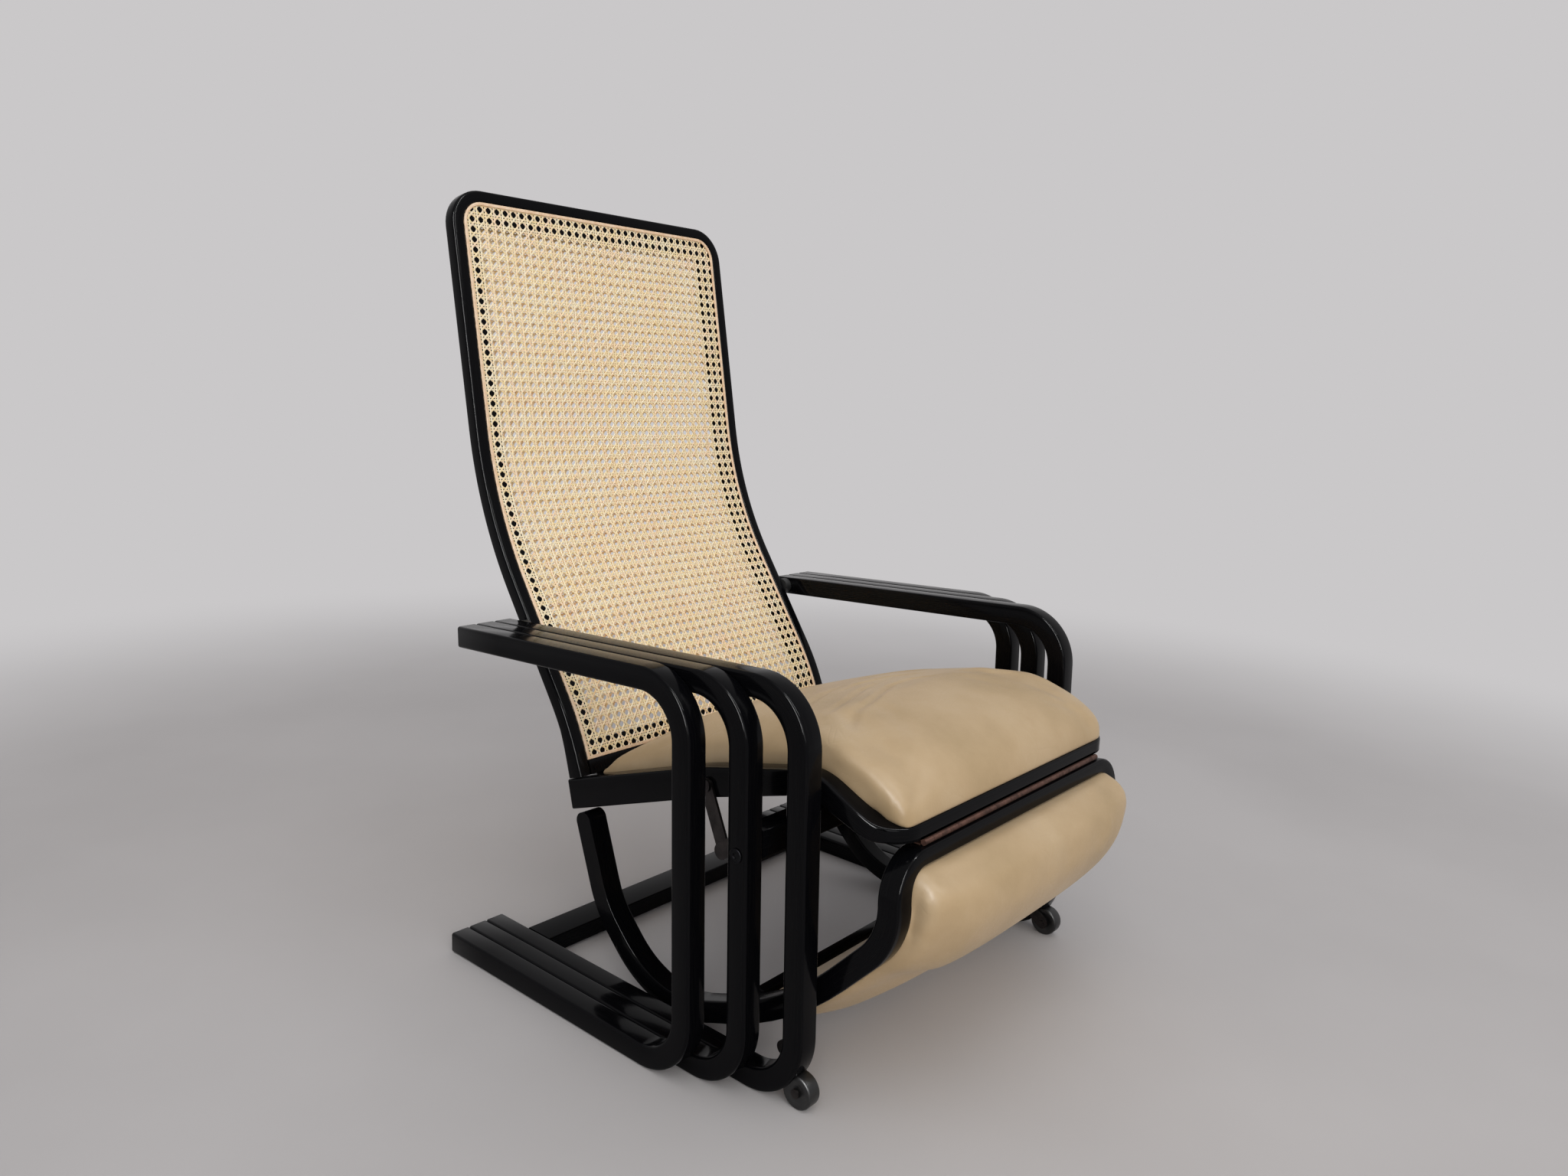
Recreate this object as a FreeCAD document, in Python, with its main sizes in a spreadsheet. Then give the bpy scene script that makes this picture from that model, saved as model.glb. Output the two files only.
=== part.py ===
# Bentwood reclining armchair with a caned back, a leather seat and a hinged footrest.
# Millimetres, +Z up, the front faces -Y, the sitter's right is -X.
# Origin on the floor under the middle of the chair's outline.
import FreeCAD, Part
import math
import os
from FreeCAD import Vector, Rotation, Placement

doc = FreeCAD.newDocument("BentwoodRecliner")
sheet = doc.addObject("Spreadsheet::Sheet", "Sizes")

# Lateral places are measured from the middle plane, heights from the floor.
# Forward places are measured from the middle of the outer posts, and grow toward the footrest.
SIZES = [
    ("overall_width", 645.0),
    ("outline_middle", -145.7),
    ("strip_width", 25.3),
    ("strip_depth", 25.0),
    ("strip_round", 3.0),
    ("bend_radius", 58.5),
    ("arm_rear_height", 403.5),
    ("arm_rise_angle", 2.6),
    ("arm_behind_pivot", 17.0),
    ("runner_rear", -394.4),
    ("post_pitch", 52.4),
    ("post_lean_angle", 1.8),
    ("post_datum_height", 210.0),
    ("side_gap", 11.0),
    ("stretcher_rear", -341.0),
    ("stretcher_width", 43.0),
    ("stretcher_height", 22.0),
    ("beam_height", 30.0),
    ("beam_middle", 265.7),
    ("beam_bolt_height", 259.0),
    ("bolt_radius", 3.0),
    ("bolt_head_radius", 7.5),
    ("back_height", 930.0),
    ("back_depth", 18.0),
    ("back_side_width", 17.0),
    ("back_top_width", 14.5),
    ("back_corner_radius", 46.0),
    ("back_upper_angle", 10.4),
    ("back_lower_angle", 34.2),
    ("back_foot_angle", 21.5),
    ("back_waist_height", 539.0),
    ("back_waist_forward", -441.4),
    ("back_waist_radius", 480.0),
    ("back_heel_height", 299.0),
    ("back_heel_radius", 340.0),
    ("back_heel_rear_radius", 205.0),
    ("back_foot_gap", 1.0),
    ("back_foot_depth", 25.0),
    ("back_rail_height", 20.0),
    ("cane_depth", 1.4),
    ("cane_recess", 1.6),
    ("cane_lip_side", 22.0),
    ("cane_lip_top", 26.0),
    ("spline_width", 4.0),
    ("spline_depth", 1.4),
    ("pivot_pin_radius", 4.0),
    ("pivot_pin_depth", 14.0),
    ("running_gap", 0.05),
    ("spacer_radius", 11.0),
    ("face_gap", 0.3),
    ("seat_front", 190.0),
    ("seat_frame_width", 25.0),
    ("seat_corner_radius", 47.0),
    ("seat_panel_depth", 8.0),
    ("seat_rear_rail_width", 20.0),
    ("seat_crown", 48.0),
    ("rear_hinge_back", 5.0),
    ("rear_hinge_rise", 0.8),
    ("rear_leaf_width", 24.0),
    ("rear_barrel_radius", 3.5),
    ("front_barrel_radius", 3.1),
    ("barrel_pin_radius", 1.5),
    ("hinge_leaf_depth", 1.5),
    ("hinge_half_length", 186.0),
    ("hinge_forward", 191.5),
    ("hinge_height", 282.4),
    ("foot_top", 279.0),
    ("foot_top_width", 17.0),
    ("foot_arm_end", 187.0),
    ("foot_rail_forward", 14.0),
    ("foot_rail_width", 12.0),
    ("foot_rail_height", 10.5),
    ("foot_corner_radius", 47.0),
    ("foot_crown", 41.0),
    ("link_pivot_forward", -19.5),
    ("link_pivot_height", 225.0),
    ("link_top_forward", -48.0),
    ("link_top_height", 289.0),
    ("link_width", 17.0),
    ("link_depth", 3.0),
    ("link_pin_radius", 3.0),
    ("link_slack", 2.6),
    ("bracket_depth", 3.0),
    ("wheel_radius", 18.0),
    ("wheel_width", 17.0),
    ("wheel_forward", 112.6),
    ("wheel_wall", 5.0),
    ("wheel_notch_gap", 2.0),
    ("axle_radius", 3.0),
]
for row, (alias, value) in enumerate(SIZES, start=1):
    sheet.set("A%d" % row, alias)
    sheet.set("B%d" % row, str(value))
    sheet.setAlias("B%d" % row, alias)
doc.recompute()


def size(alias):
    return float(sheet.get(alias))


half = size("overall_width") / 2
strip = size("strip_width")
deep = size("strip_depth")
frame_inner = half - 3 * strip
shell_half = frame_inner - size("side_gap")
middle = size("outline_middle")
gap = size("face_gap")


def at(x, forward, height):
    return Vector(x, middle - forward, height)


# A path is a side view centre line: straight runs joined by tangent arcs.
def bend_path(corners):
    runs = []
    start = corners[0][:2]
    for before, here, after in zip(corners, corners[1:], corners[2:]):
        a = math.atan2(here[1] - before[1], here[0] - before[0])
        b = math.atan2(after[1] - here[1], after[0] - here[0])
        turn = (b - a + math.pi) % (2 * math.pi) - math.pi
        radius = here[2]
        reach = radius * math.tan(abs(turn) / 2)
        enter = (here[0] - reach * math.cos(a), here[1] - reach * math.sin(a))
        leave = (here[0] + reach * math.cos(b), here[1] + reach * math.sin(b))
        side = 1 if turn > 0 else -1
        centre = (enter[0] - side * radius * math.sin(a), enter[1] + side * radius * math.cos(a))
        runs.append(("line", start, enter, a))
        runs.append(("arc", centre, radius, a, turn))
        start = leave
    end = corners[-1][:2]
    runs.append(("line", start, end, math.atan2(end[1] - start[1], end[0] - start[0])))
    return runs


# Places on a path moved sideways by a distance, positive to the left of travel.
def run_points(run, distance):
    if run[0] == "line":
        shift = (-math.sin(run[3]) * distance, math.cos(run[3]) * distance)
        return [(p[0] + shift[0], p[1] + shift[1]) for p in (run[1], run[2])]
    centre, radius, a, turn = run[1:]
    side = 1 if turn > 0 else -1
    reach = radius - side * distance
    angles = [a - side * math.pi / 2 + turn * k for k in (0, 0.5, 1)]
    return [(centre[0] + reach * math.cos(t), centre[1] + reach * math.sin(t)) for t in angles]


def path_edges(runs, distance, x=0.0):
    edges = []
    for run in runs:
        points = [at(x, *p) for p in run_points(run, distance)]
        if len(points) == 2:
            edges.append(Part.makeLine(*points))
        else:
            edges.append(Part.Arc(*points).toShape())
    return edges


# The band between two offsets of a path, as a face in the plane at x.
def band_face(runs, low, high, x):
    lower = path_edges(runs, low, x)
    upper = path_edges(runs, high, x)
    first = Part.makeLine(lower[0].Vertexes[0].Point, upper[0].Vertexes[0].Point)
    last = Part.makeLine(lower[-1].Vertexes[-1].Point, upper[-1].Vertexes[-1].Point)
    return Part.Face(Part.Wire(Part.__sortEdges__(lower + upper + [first, last])))


def band_solid(runs, low, high, x0, x1):
    return band_face(runs, low, high, x0).extrude(Vector(x1 - x0, 0, 0))


# Evenly spaced stations along a path: place, direction angle.
def stations(runs, step=1.0):
    found = []
    for run in runs:
        if run[0] == "line":
            length = math.dist(run[1], run[2])
            count = max(2, int(length / step))
            for k in range(count + 1):
                s = k / count
                found.append((run[1][0] + (run[2][0] - run[1][0]) * s,
                              run[1][1] + (run[2][1] - run[1][1]) * s, run[3]))
        else:
            centre, radius, a, turn = run[1:]
            side = 1 if turn > 0 else -1
            count = max(2, int(abs(turn) * radius / step))
            for k in range(count + 1):
                t = a + turn * k / count
                found.append((centre[0] + radius * math.cos(t - side * math.pi / 2),
                              centre[1] + radius * math.sin(t - side * math.pi / 2), t))
    return found


def round_edges(shape, radius, chosen=None):
    edges = shape.Edges if chosen is None else [e for e in shape.Edges if chosen(e)]
    return shape.makeFillet(radius, edges)


# Edges along the strip, not those of its cut ends.
def long_edges(x_faces):
    def chosen(edge):
        return any(abs(v - x) < 0.01 for x in x_faces for v in (edge.CenterOfMass.x,)) and edge.Length > 30
    return chosen


made = []


def keep(label, shape):
    piece = doc.addObject("Part::Feature", label)
    piece.Label = label
    piece.Shape = shape
    made.append(piece)
    return piece


def bind(item, **formulas):
    for name, formula in formulas.items():
        item.setExpression(name.replace("__", "."), formula)
    return item


def box(label, x, y, z, length, width, height):
    item = doc.addObject("Part::Box", label)
    item.Label = label
    bind(item, Length=length, Width=width, Height=height)
    item.setExpression("Placement.Base.x", x)
    item.setExpression("Placement.Base.y", y)
    item.setExpression("Placement.Base.z", z)
    return item


# A cylinder whose axis runs along +X from its base.
def lateral_rod(label, radius, length, x, y, z):
    item = doc.addObject("Part::Cylinder", label)
    item.Label = label
    bind(item, Radius=radius, Height=length)
    item.Placement = Placement(Vector(0, 0, 0), Rotation(Vector(0, 1, 0), 90))
    item.setExpression("Placement.Base.x", x)
    item.setExpression("Placement.Base.y", y)
    item.setExpression("Placement.Base.z", z)
    return item


SIDES = (("right", -1), ("left", 1))

# Side frames: three bent strips side by side, each an arm, a post and a runner in one piece.
arm_rise = math.tan(math.radians(size("arm_rise_angle")))
post_lean = math.tan(math.radians(size("post_lean_angle")))


def post_forward(index, height):
    return index * size("post_pitch") - (height - size("post_datum_height")) * post_lean


# Front surface of the back: upper run, lower run and foot, joined by two bends.
waist = (size("back_waist_forward"), size("back_waist_height"))
upper_slope = math.tan(math.radians(size("back_upper_angle")))
lower_slope = math.tan(math.radians(size("back_lower_angle")))
foot_slope = math.tan(math.radians(size("back_foot_angle")))
heel = (waist[0] + (waist[1] - size("back_heel_height")) * lower_slope, size("back_heel_height"))
back_top = size("back_height") + 30
back_low = 190.0
back_deep = size("back_depth")
foot_deep = size("back_foot_depth")
waist_radius = size("back_waist_radius")
heel_radius = size("back_heel_radius")
front_corners = [
    (waist[0] - (back_top - waist[1]) * upper_slope, back_top),
    (waist[0], waist[1], waist_radius),
    (heel[0], heel[1], heel_radius),
    (heel[0] + (heel[1] - back_low) * foot_slope, back_low),
]


# A corner moved so that the runs on both its sides shift by a distance to the left of travel.
def shifted_corner(before, here, after, distance):
    a = math.atan2(here[1] - before[1], here[0] - before[0])
    b = math.atan2(after[1] - here[1], after[0] - here[0])
    reach = distance / math.cos((b - a) / 2)
    across = (a + b) / 2 + math.pi / 2
    return here[0] + reach * math.cos(across), here[1] + reach * math.sin(across)


# The rear surface runs parallel to the front one and spreads a little below the heel.
seat_corner_height = 233.2
spread = (heel[1] - back_low) / (heel[1] - seat_corner_height)
foot_depth_low = back_deep + (foot_deep - back_deep) * spread
upper_turn = math.radians(size("back_upper_angle"))
foot_turn = math.radians(size("back_foot_angle"))
rear_corners = [
    (front_corners[0][0] - back_deep * math.cos(upper_turn), back_top - back_deep * math.sin(upper_turn)),
    shifted_corner(*front_corners[0:3], distance=-back_deep) + (waist_radius + back_deep,),
    shifted_corner(*front_corners[1:4], distance=-back_deep) + (size("back_heel_rear_radius"),),
    (front_corners[3][0] - foot_depth_low * math.cos(foot_turn),
     back_low - foot_depth_low * math.sin(foot_turn)),
]
back_path = bend_path(front_corners)
back_rear = bend_path(rear_corners)


def place_at_height(runs, height):
    return min(stations(runs), key=lambda s: abs(s[1] - height))


# The back turns on the arms where its side rails pass them.
pivot_height = size("arm_rear_height")
on_back = place_at_height(back_path, pivot_height)
pivot_forward = on_back[0] + math.sin(on_back[2]) * back_deep / 2
arm_rear = pivot_forward - size("arm_behind_pivot")


def arm_height(forward):
    return size("arm_rear_height") + (forward - arm_rear) * arm_rise


pivot_height = arm_height(pivot_forward)
on_back = place_at_height(back_path, pivot_height)
pivot_forward = on_back[0] + math.sin(on_back[2]) * back_deep / 2


def strip_path(index):
    base = post_forward(index, 0)
    rise = size("arm_rear_height") - arm_rear * arm_rise
    top = (rise + arm_rise * base) / (1 + arm_rise * post_lean)
    low = deep / 2
    return bend_path([
        (arm_rear, arm_height(arm_rear)),
        (post_forward(index, top), top, size("bend_radius")),
        (post_forward(index, low), low, size("bend_radius")),
        (size("runner_rear"), low),
    ])


wheel_height = size("wheel_radius")
strips = {}
for side_name, side in SIDES:
    for index, place in enumerate(("outer", "middle", "inner")):
        edge = side * (half - index * strip)
        x0, x1 = sorted((edge, edge - side * strip))
        shape = band_solid(strip_path(index), -deep / 2, deep / 2, x0, x1)
        shape = round_edges(shape, size("strip_round"), long_edges((x0, x1)))
        strips[place, side_name] = shape

# Bores in the inner strips for the back's pivot pins, and a notch over each wheel.
for side_name, side in SIDES:
    inner_face = side * frame_inner
    bore = Part.makeCylinder(size("pivot_pin_radius"), size("pivot_pin_depth") + 1,
                             at(inner_face + side * size("pivot_pin_depth"), pivot_forward, pivot_height),
                             Vector(-side, 0, 0))
    wheel_place = at(side * (frame_inner + strip - size("wheel_wall")), size("wheel_forward"), wheel_height)
    notch = Part.makeCylinder(size("wheel_radius") + size("wheel_notch_gap"), strip, wheel_place,
                              Vector(-side, 0, 0))
    strips["inner", side_name] = strips["inner", side_name].cut(bore).cut(notch)

# The beam's bolts pass through the middle strips.
beam_forward = post_forward(1, size("beam_middle"))
bolt_forward = post_forward(1, size("beam_bolt_height"))
middle_inner = half - 2 * strip
for side_name, side in SIDES:
    hole = Part.makeCylinder(size("bolt_radius"), strip + 2,
                             at(side * (middle_inner - 1), bolt_forward, size("beam_bolt_height")),
                             Vector(side, 0, 0))
    strips["middle", side_name] = strips["middle", side_name].cut(hole)
for (place, side_name), shape in strips.items():
    keep("frame_%s_strip_%s" % (place, side_name), shape)

# Rear stretcher between the runners, flush with their tops.
stretcher = box("rear_stretcher",
                "-(Sizes.overall_width / 2 - 3 * Sizes.strip_width)",
                "Sizes.outline_middle - Sizes.stretcher_rear - Sizes.stretcher_width",
                "Sizes.strip_depth - Sizes.stretcher_height",
                "Sizes.overall_width - 6 * Sizes.strip_width",
                "Sizes.stretcher_width", "Sizes.stretcher_height")
made.append(stretcher)

# Front beam between the middle posts, bored for its two bolts.
beam_box = Part.makeBox(2 * middle_inner, deep, size("beam_height"),
                        at(-middle_inner, beam_forward + deep / 2, size("beam_middle") - size("beam_height") / 2))
beam_box = round_edges(beam_box, 1.5, lambda e: e.Length > deep * 2)
beam_low = size("beam_middle") - size("beam_height") / 2
bolt_reach = 40.0
for side_name, side in SIDES:
    beam_box = beam_box.cut(Part.makeCylinder(
        size("bolt_radius"), bolt_reach,
        at(side * (middle_inner - bolt_reach), bolt_forward, size("beam_bolt_height")), Vector(side, 0, 0)))
keep("front_beam", beam_box)
for side_name, side in SIDES:
    shank = Part.makeCylinder(size("bolt_radius"), bolt_reach + strip,
                              at(side * (middle_inner - bolt_reach), bolt_forward, size("beam_bolt_height")),
                              Vector(side, 0, 0))
    head_place = at(side * (middle_inner + strip), bolt_forward, size("beam_bolt_height"))
    head = Part.makeCylinder(size("bolt_head_radius"), 1.8, head_place, Vector(side, 0, 0))
    recess = Part.makeCylinder(2.6, 1.2, head_place + Vector(side * 0.7, 0, 0), Vector(side, 0, 0))
    keep("beam_bolt_%s" % side_name, shank.fuse(head).removeSplitter().cut(recess))

# Wheels under the front bends, each on an axle in a plate on the inner strip's inside face.
for side_name, side in SIDES:
    hub = at(side * frame_inner, size("wheel_forward"), wheel_height)
    plate_x = side * (frame_inner - size("bracket_depth") / 2)
    screw_place = at(side * frame_inner, size("wheel_forward") - 34, wheel_height + 26)
    along = screw_place - hub
    plate_width = 16.0
    bar = Part.makeBox(along.Length, plate_width, size("bracket_depth"), Vector(0, -plate_width / 2, 0))
    ends = [Part.makeCylinder(plate_width / 2, size("bracket_depth"), Vector(d, 0, 0)) for d in (0, along.Length)]
    flat = bar.fuse(ends).removeSplitter()
    flat.Placement = Placement(hub, Rotation(along, Vector(0, 0, 0), Vector(-side, 0, 0), "XZY"))
    plate = flat.cut(Part.makeCylinder(size("axle_radius"), 20, hub + Vector(side * 10, 0, 0), Vector(-side, 0, 0)))
    keep("wheel_plate_%s" % side_name, plate)
    axle_out = frame_inner + strip - size("wheel_wall")
    axle = Part.makeCylinder(size("axle_radius"), axle_out - frame_inner + size("bracket_depth") + 1.5,
                             at(side * (frame_inner - size("bracket_depth") - 1.5), size("wheel_forward"),
                                wheel_height), Vector(side, 0, 0))
    wheel_x = frame_inner + 1.5
    cap_x = wheel_x + size("wheel_width") + gap
    cap = Part.makeCylinder(size("axle_radius") + 2, 1.5, at(side * cap_x, size("wheel_forward"), wheel_height),
                            Vector(side, 0, 0))
    keep("wheel_axle_%s" % side_name, axle.fuse(cap).removeSplitter())
    rim = Part.makeCylinder(size("wheel_radius"), size("wheel_width"),
                            at(side * wheel_x, size("wheel_forward"), wheel_height), Vector(side, 0, 0))
    rim = round_edges(rim, 2.0, lambda e: abs(e.Length - 2 * math.pi * size("wheel_radius")) < 1)
    bore = Part.makeCylinder(size("axle_radius") + size("running_gap"), size("wheel_width") + 2,
                             at(side * (wheel_x - 1), size("wheel_forward"), wheel_height), Vector(side, 0, 0))
    keep("wheel_%s" % side_name, rim.cut(bore))

# Pivot pins of the back, fixed in the inner strips, with a spacer in each side gap.
for side_name, side in SIDES:
    pin_length = size("side_gap") + 2 * size("pivot_pin_depth")
    pin = Part.makeCylinder(size("pivot_pin_radius"), pin_length,
                            at(side * (shell_half - size("pivot_pin_depth")), pivot_forward, pivot_height),
                            Vector(side, 0, 0))
    keep("pivot_pin_%s" % side_name, pin)
    ring = Part.makeCylinder(size("spacer_radius"), size("side_gap") - gap,
                             at(side * (shell_half + gap), pivot_forward, pivot_height), Vector(side, 0, 0))
    keep("pivot_spacer_%s" % side_name, ring.cut(pin))


# A prism of a rounded rectangle in the front view, used to shape the back and the footrest.
def front_plate(half_width, low, high, radius, y0, y1):
    height = high - low
    points = [(-half_width, low), (half_width, low), (half_width, high - radius),
              (half_width - radius, high), (-half_width + radius, high), (-half_width, high - radius)]
    v = [Vector(x, y0, z) for x, z in points]
    k = radius * (1 - math.sqrt(0.5))
    edges = [Part.makeLine(v[0], v[1]), Part.makeLine(v[1], v[2]),
             Part.Arc(v[2], Vector(half_width - k, y0, high - k), v[3]).toShape(),
             Part.makeLine(v[3], v[4]),
             Part.Arc(v[4], Vector(-half_width + k, y0, high - k), v[5]).toShape(),
             Part.makeLine(v[5], v[0])]
    return Part.Face(Part.Wire(edges)).extrude(Vector(0, y1 - y0, 0))


# Seat frame seen from the side: tapered rails that dip in an S to the front rail.
seat_front = size("seat_front")
seat_top_corners = [(-279.2, 233.2), (-60.0, 305.7, 400.0), (90.7, 340.9, 80.0), (167.3, 302.6, 50.0),
                    (seat_front, 300.5)]
seat_low_corners = [(-270.2, 198.1), (-50.0, 273.5, 400.0), (88.0, 314.0, 55.0), (160.0, 287.3, 60.0),
                    (seat_front, 285.3)]
seat_top = bend_path(seat_top_corners)
seat_low = bend_path(seat_low_corners)
seat_slope = math.atan2(305.7 - 233.2, -60.0 + 279.2)


def side_outline(upper, lower, x, drop=0.0, lift=0.0):
    top = path_edges(upper, drop, x)
    low = path_edges(lower, lift, x)
    rear = Part.makeLine(top[0].Vertexes[0].Point, low[0].Vertexes[0].Point)
    front = Part.makeLine(top[-1].Vertexes[-1].Point, low[-1].Vertexes[-1].Point)
    return Part.Face(Part.Wire(Part.__sortEdges__(top + low + [rear, front])))


# A prism of the seat's plan, rounded at the front corners.
def plan_plate(half_width, rear, front, radius, z0, z1):
    points = [(-half_width, rear), (half_width, rear), (half_width, front - radius),
              (half_width - radius, front), (-half_width + radius, front), (-half_width, front - radius)]
    v = [Vector(x, middle - f, z0) for x, f in points]
    k = radius * (1 - math.sqrt(0.5))
    edges = [Part.makeLine(v[0], v[1]), Part.makeLine(v[1], v[2]),
             Part.Arc(v[2], Vector(half_width - k, middle - front + k, z0), v[3]).toShape(),
             Part.makeLine(v[3], v[4]),
             Part.Arc(v[4], Vector(-half_width + k, middle - front + k, z0), v[5]).toShape(),
             Part.makeLine(v[5], v[0])]
    return Part.Face(Part.Wire(edges)).extrude(Vector(0, 0, z1 - z0))


seat_inner = shell_half - size("seat_frame_width")
seat_rear = seat_top_corners[0][0] - 1
seat_side = side_outline(seat_top, seat_low, -shell_half - 1).extrude(Vector(2 * shell_half + 2, 0, 0))
seat_outer = plan_plate(shell_half, seat_rear, seat_front, size("seat_corner_radius"), 150, 400)
seat_hole = plan_plate(seat_inner, seat_rear - 20, seat_front - size("seat_frame_width"),
                       size("seat_corner_radius") - size("seat_frame_width"), 150, 400)
seat_ring = seat_side.common(seat_outer).cut(seat_hole)
seat_ring = seat_ring.Solids[0]
link_pin_place = (size("link_top_forward"), size("link_top_height"))
for side_name, side in SIDES:
    seat_ring = seat_ring.cut(Part.makeCylinder(
        size("link_pin_radius"), 16, at(side * (shell_half - 15), *link_pin_place), Vector(side, 0, 0)))
keep("seat_frame", seat_ring)

rear_rail_plan = plan_plate(seat_inner, seat_rear, seat_rear + 1 + size("seat_rear_rail_width"), 0.5, 150, 400)
seat_rear_rail = seat_side.common(rear_rail_plan)
keep("seat_rear_rail", seat_rear_rail.Solids[0])

# Plywood base inside the seat frame, flush with its underside.
panel_rear = seat_rear + 1 + size("seat_rear_rail_width")
panel_side = band_solid(seat_low, 0.0, size("seat_panel_depth"), -seat_inner, seat_inner)
panel_plan = plan_plate(seat_inner, panel_rear, seat_front - size("seat_frame_width"),
                        size("seat_corner_radius") - size("seat_frame_width"), 150, 400)
keep("seat_panel", panel_side.common(panel_plan).Solids[0])


# One closed cross section of a cushion: flat base, drawn-in sides, crowned face.
def cushion_section(place, out, half_width, base, side_height, crown):
    def p(x, n):
        return place + Vector(x, 0, 0) + out * n
    inset = 0.04 * half_width
    shoulder = half_width - inset
    a, b = p(-shoulder, base), p(shoulder, base)
    c, d = p(shoulder, side_height), p(-shoulder, side_height)
    return Part.Wire([
        Part.makeLine(a, b),
        Part.Arc(b, p(half_width, (base + side_height) / 2), c).toShape(),
        Part.Arc(c, p(0, crown), d).toShape(),
        Part.Arc(d, p(-half_width, (base + side_height) / 2), a).toShape(),
    ])


# Seat cushion: lofted from the rear rail to the front rail, over whose top it rolls down.
def height_on(line, forward):
    return min(line, key=lambda s: abs(s[0] - forward))[1]


top_line = stations(seat_top, 0.3)
low_line = stations(seat_low, 0.3)
crown_scale = size("seat_crown") / 48.0
front_rail_rear = seat_front - size("seat_frame_width")
corner_start = front_rail_rear - (size("seat_corner_radius") - size("seat_frame_width")) - 1.5


# Rows between the given ones, so that each cushion can be lofted in short straight steps.
def filled_rows(rows, step):
    full = []
    for before, here in zip(rows, rows[1:]):
        count = max(1, round(abs(here[0] - before[0]) / step))
        full += [[u + (v - u) * k / count for u, v in zip(before, here)] for k in range(count)]
    return full + [rows[-1]]


# Each row: forward place, height of the side and of the crown over the rail, narrowing.
cushion_rows = [(panel_rear + gap + 0.5, -14, -11, 8), (-252, -3, 7, 2), (-246, 10, 24, 0), (-234, 20, 38, 0),
                (-200, 25, 43, 0), (-120, 26, 44, 0), (-40, 26, 45, 0), (20, 26, 48, 0), (70, 26, 50, 0),
                (116, 31, 55, 0), (corner_start, 37, 61, 0), (front_rail_rear - 5, 37, 60, 0),
                (front_rail_rear + 7, 31, 49, 2), (seat_front - 8, 20, 33, 9), (seat_front - 4, 14, 23, 15),
                (seat_front - 1, 6, 9, 26)]
cushion_wires = []
for forward, side_over, crown_over, narrower in filled_rows(cushion_rows, 22):
    rail_top = height_on(top_line, forward)
    base = height_on(low_line, forward) + size("seat_panel_depth") / math.cos(seat_slope) + gap + 0.8
    if forward >= corner_start - 1:
        base = rail_top + gap + 0.5
    cushion_wires.append(cushion_section(
        at(0, forward, base), Vector(0, 0, 1), seat_inner - gap - narrower, 0,
        rail_top + side_over - base, rail_top + crown_over * crown_scale - base))
keep("seat_cushion", Part.makeLoft(cushion_wires, True, True))

# Back frame: the side outline's band cut to a rounded frame in the front view.
def back_layer(drop=0.0, lift=0.0, wide=shell_half + 1):
    return side_outline(back_path, back_rear, -wide, drop, lift).extrude(Vector(2 * wide, 0, 0))


back_side = back_layer()
back_outer = front_plate(shell_half, 150, size("back_height"), size("back_corner_radius"), -500, 500)
inner_half = shell_half - size("back_side_width")
inner_top = size("back_height") - size("back_top_width")
inner_radius = size("back_corner_radius") - size("back_side_width")
back_hole = front_plate(inner_half, 100, inner_top, inner_radius, -500, 500)
foot_line = at(0, seat_top_corners[0][0], seat_top_corners[0][1] + size("back_foot_gap"))
below = Part.makeBox(4 * shell_half, 600, 300, Vector(-2 * shell_half, -300, -300))
below.Placement = Placement(foot_line, Rotation(Vector(1, 0, 0), -math.degrees(seat_slope))).multiply(
    below.Placement)
back_ring = back_side.common(back_outer).cut(back_hole).cut(below)
rail_top = foot_line.z + 4 + size("back_rail_height")
recess = size("cane_recess")
thin = size("cane_depth")
opening = front_plate(inner_half, rail_top, inner_top, inner_radius, -500, 500)


# A thin layer that follows one face of the back, between two depths under that face.
def face_layer(path, low, high):
    return band_solid(path, low, high, -shell_half, shell_half)


# Lip inside the grooves, between the two sheets of cane, whose borders lie on it.
lip_under = recess + thin + size("running_gap")
lip_side = size("cane_lip_side")
lip_layer = face_layer(back_path, lip_under - size("back_depth"), -lip_under)
window = front_plate(inner_half - lip_side, rail_top - 50, inner_top - size("cane_lip_top"),
                     inner_radius - lip_side, -500, 500)
back_ring = back_ring.fuse(lip_layer.common(opening).cut(window)).removeSplitter()
for side_name, side in SIDES:
    back_ring = back_ring.cut(Part.makeCylinder(
        size("pivot_pin_radius") + size("running_gap"), size("pivot_pin_depth") + 1.5,
        at(side * (shell_half - size("pivot_pin_depth") - 0.5), pivot_forward, pivot_height),
        Vector(side, 0, 0)))
keep("back_frame", back_ring)

# Bottom rail of the back between its side rails, with its share of the lip.
rail_block = front_plate(inner_half, 150, rail_top, 0.5, -500, 500)
rail_lip = lip_layer.common(front_plate(inner_half - lip_side, rail_top - 2, rail_top + lip_side, 0.5, -500, 500))
keep("back_bottom_rail", back_side.common(rail_block).cut(below).fuse(rail_lip).removeSplitter())

# Two sheets of cane, one near each face of the back, and the splines that hold them.
spline = size("spline_depth")
spline_wide = size("spline_width")
smaller = front_plate(inner_half - spline_wide, rail_top + spline_wide, inner_top - spline_wide,
                      inner_radius - spline_wide, -500, 500)


keep("back_cane_front", face_layer(back_path, -recess - thin, -recess).common(opening))
keep("back_cane_rear", face_layer(back_rear, recess, recess + thin).common(opening))
keep("back_spline_front", face_layer(back_path, -recess, -recess + spline).common(opening).cut(smaller))
keep("back_spline_rear", face_layer(back_rear, recess - spline, recess).common(opening).cut(smaller))

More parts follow.
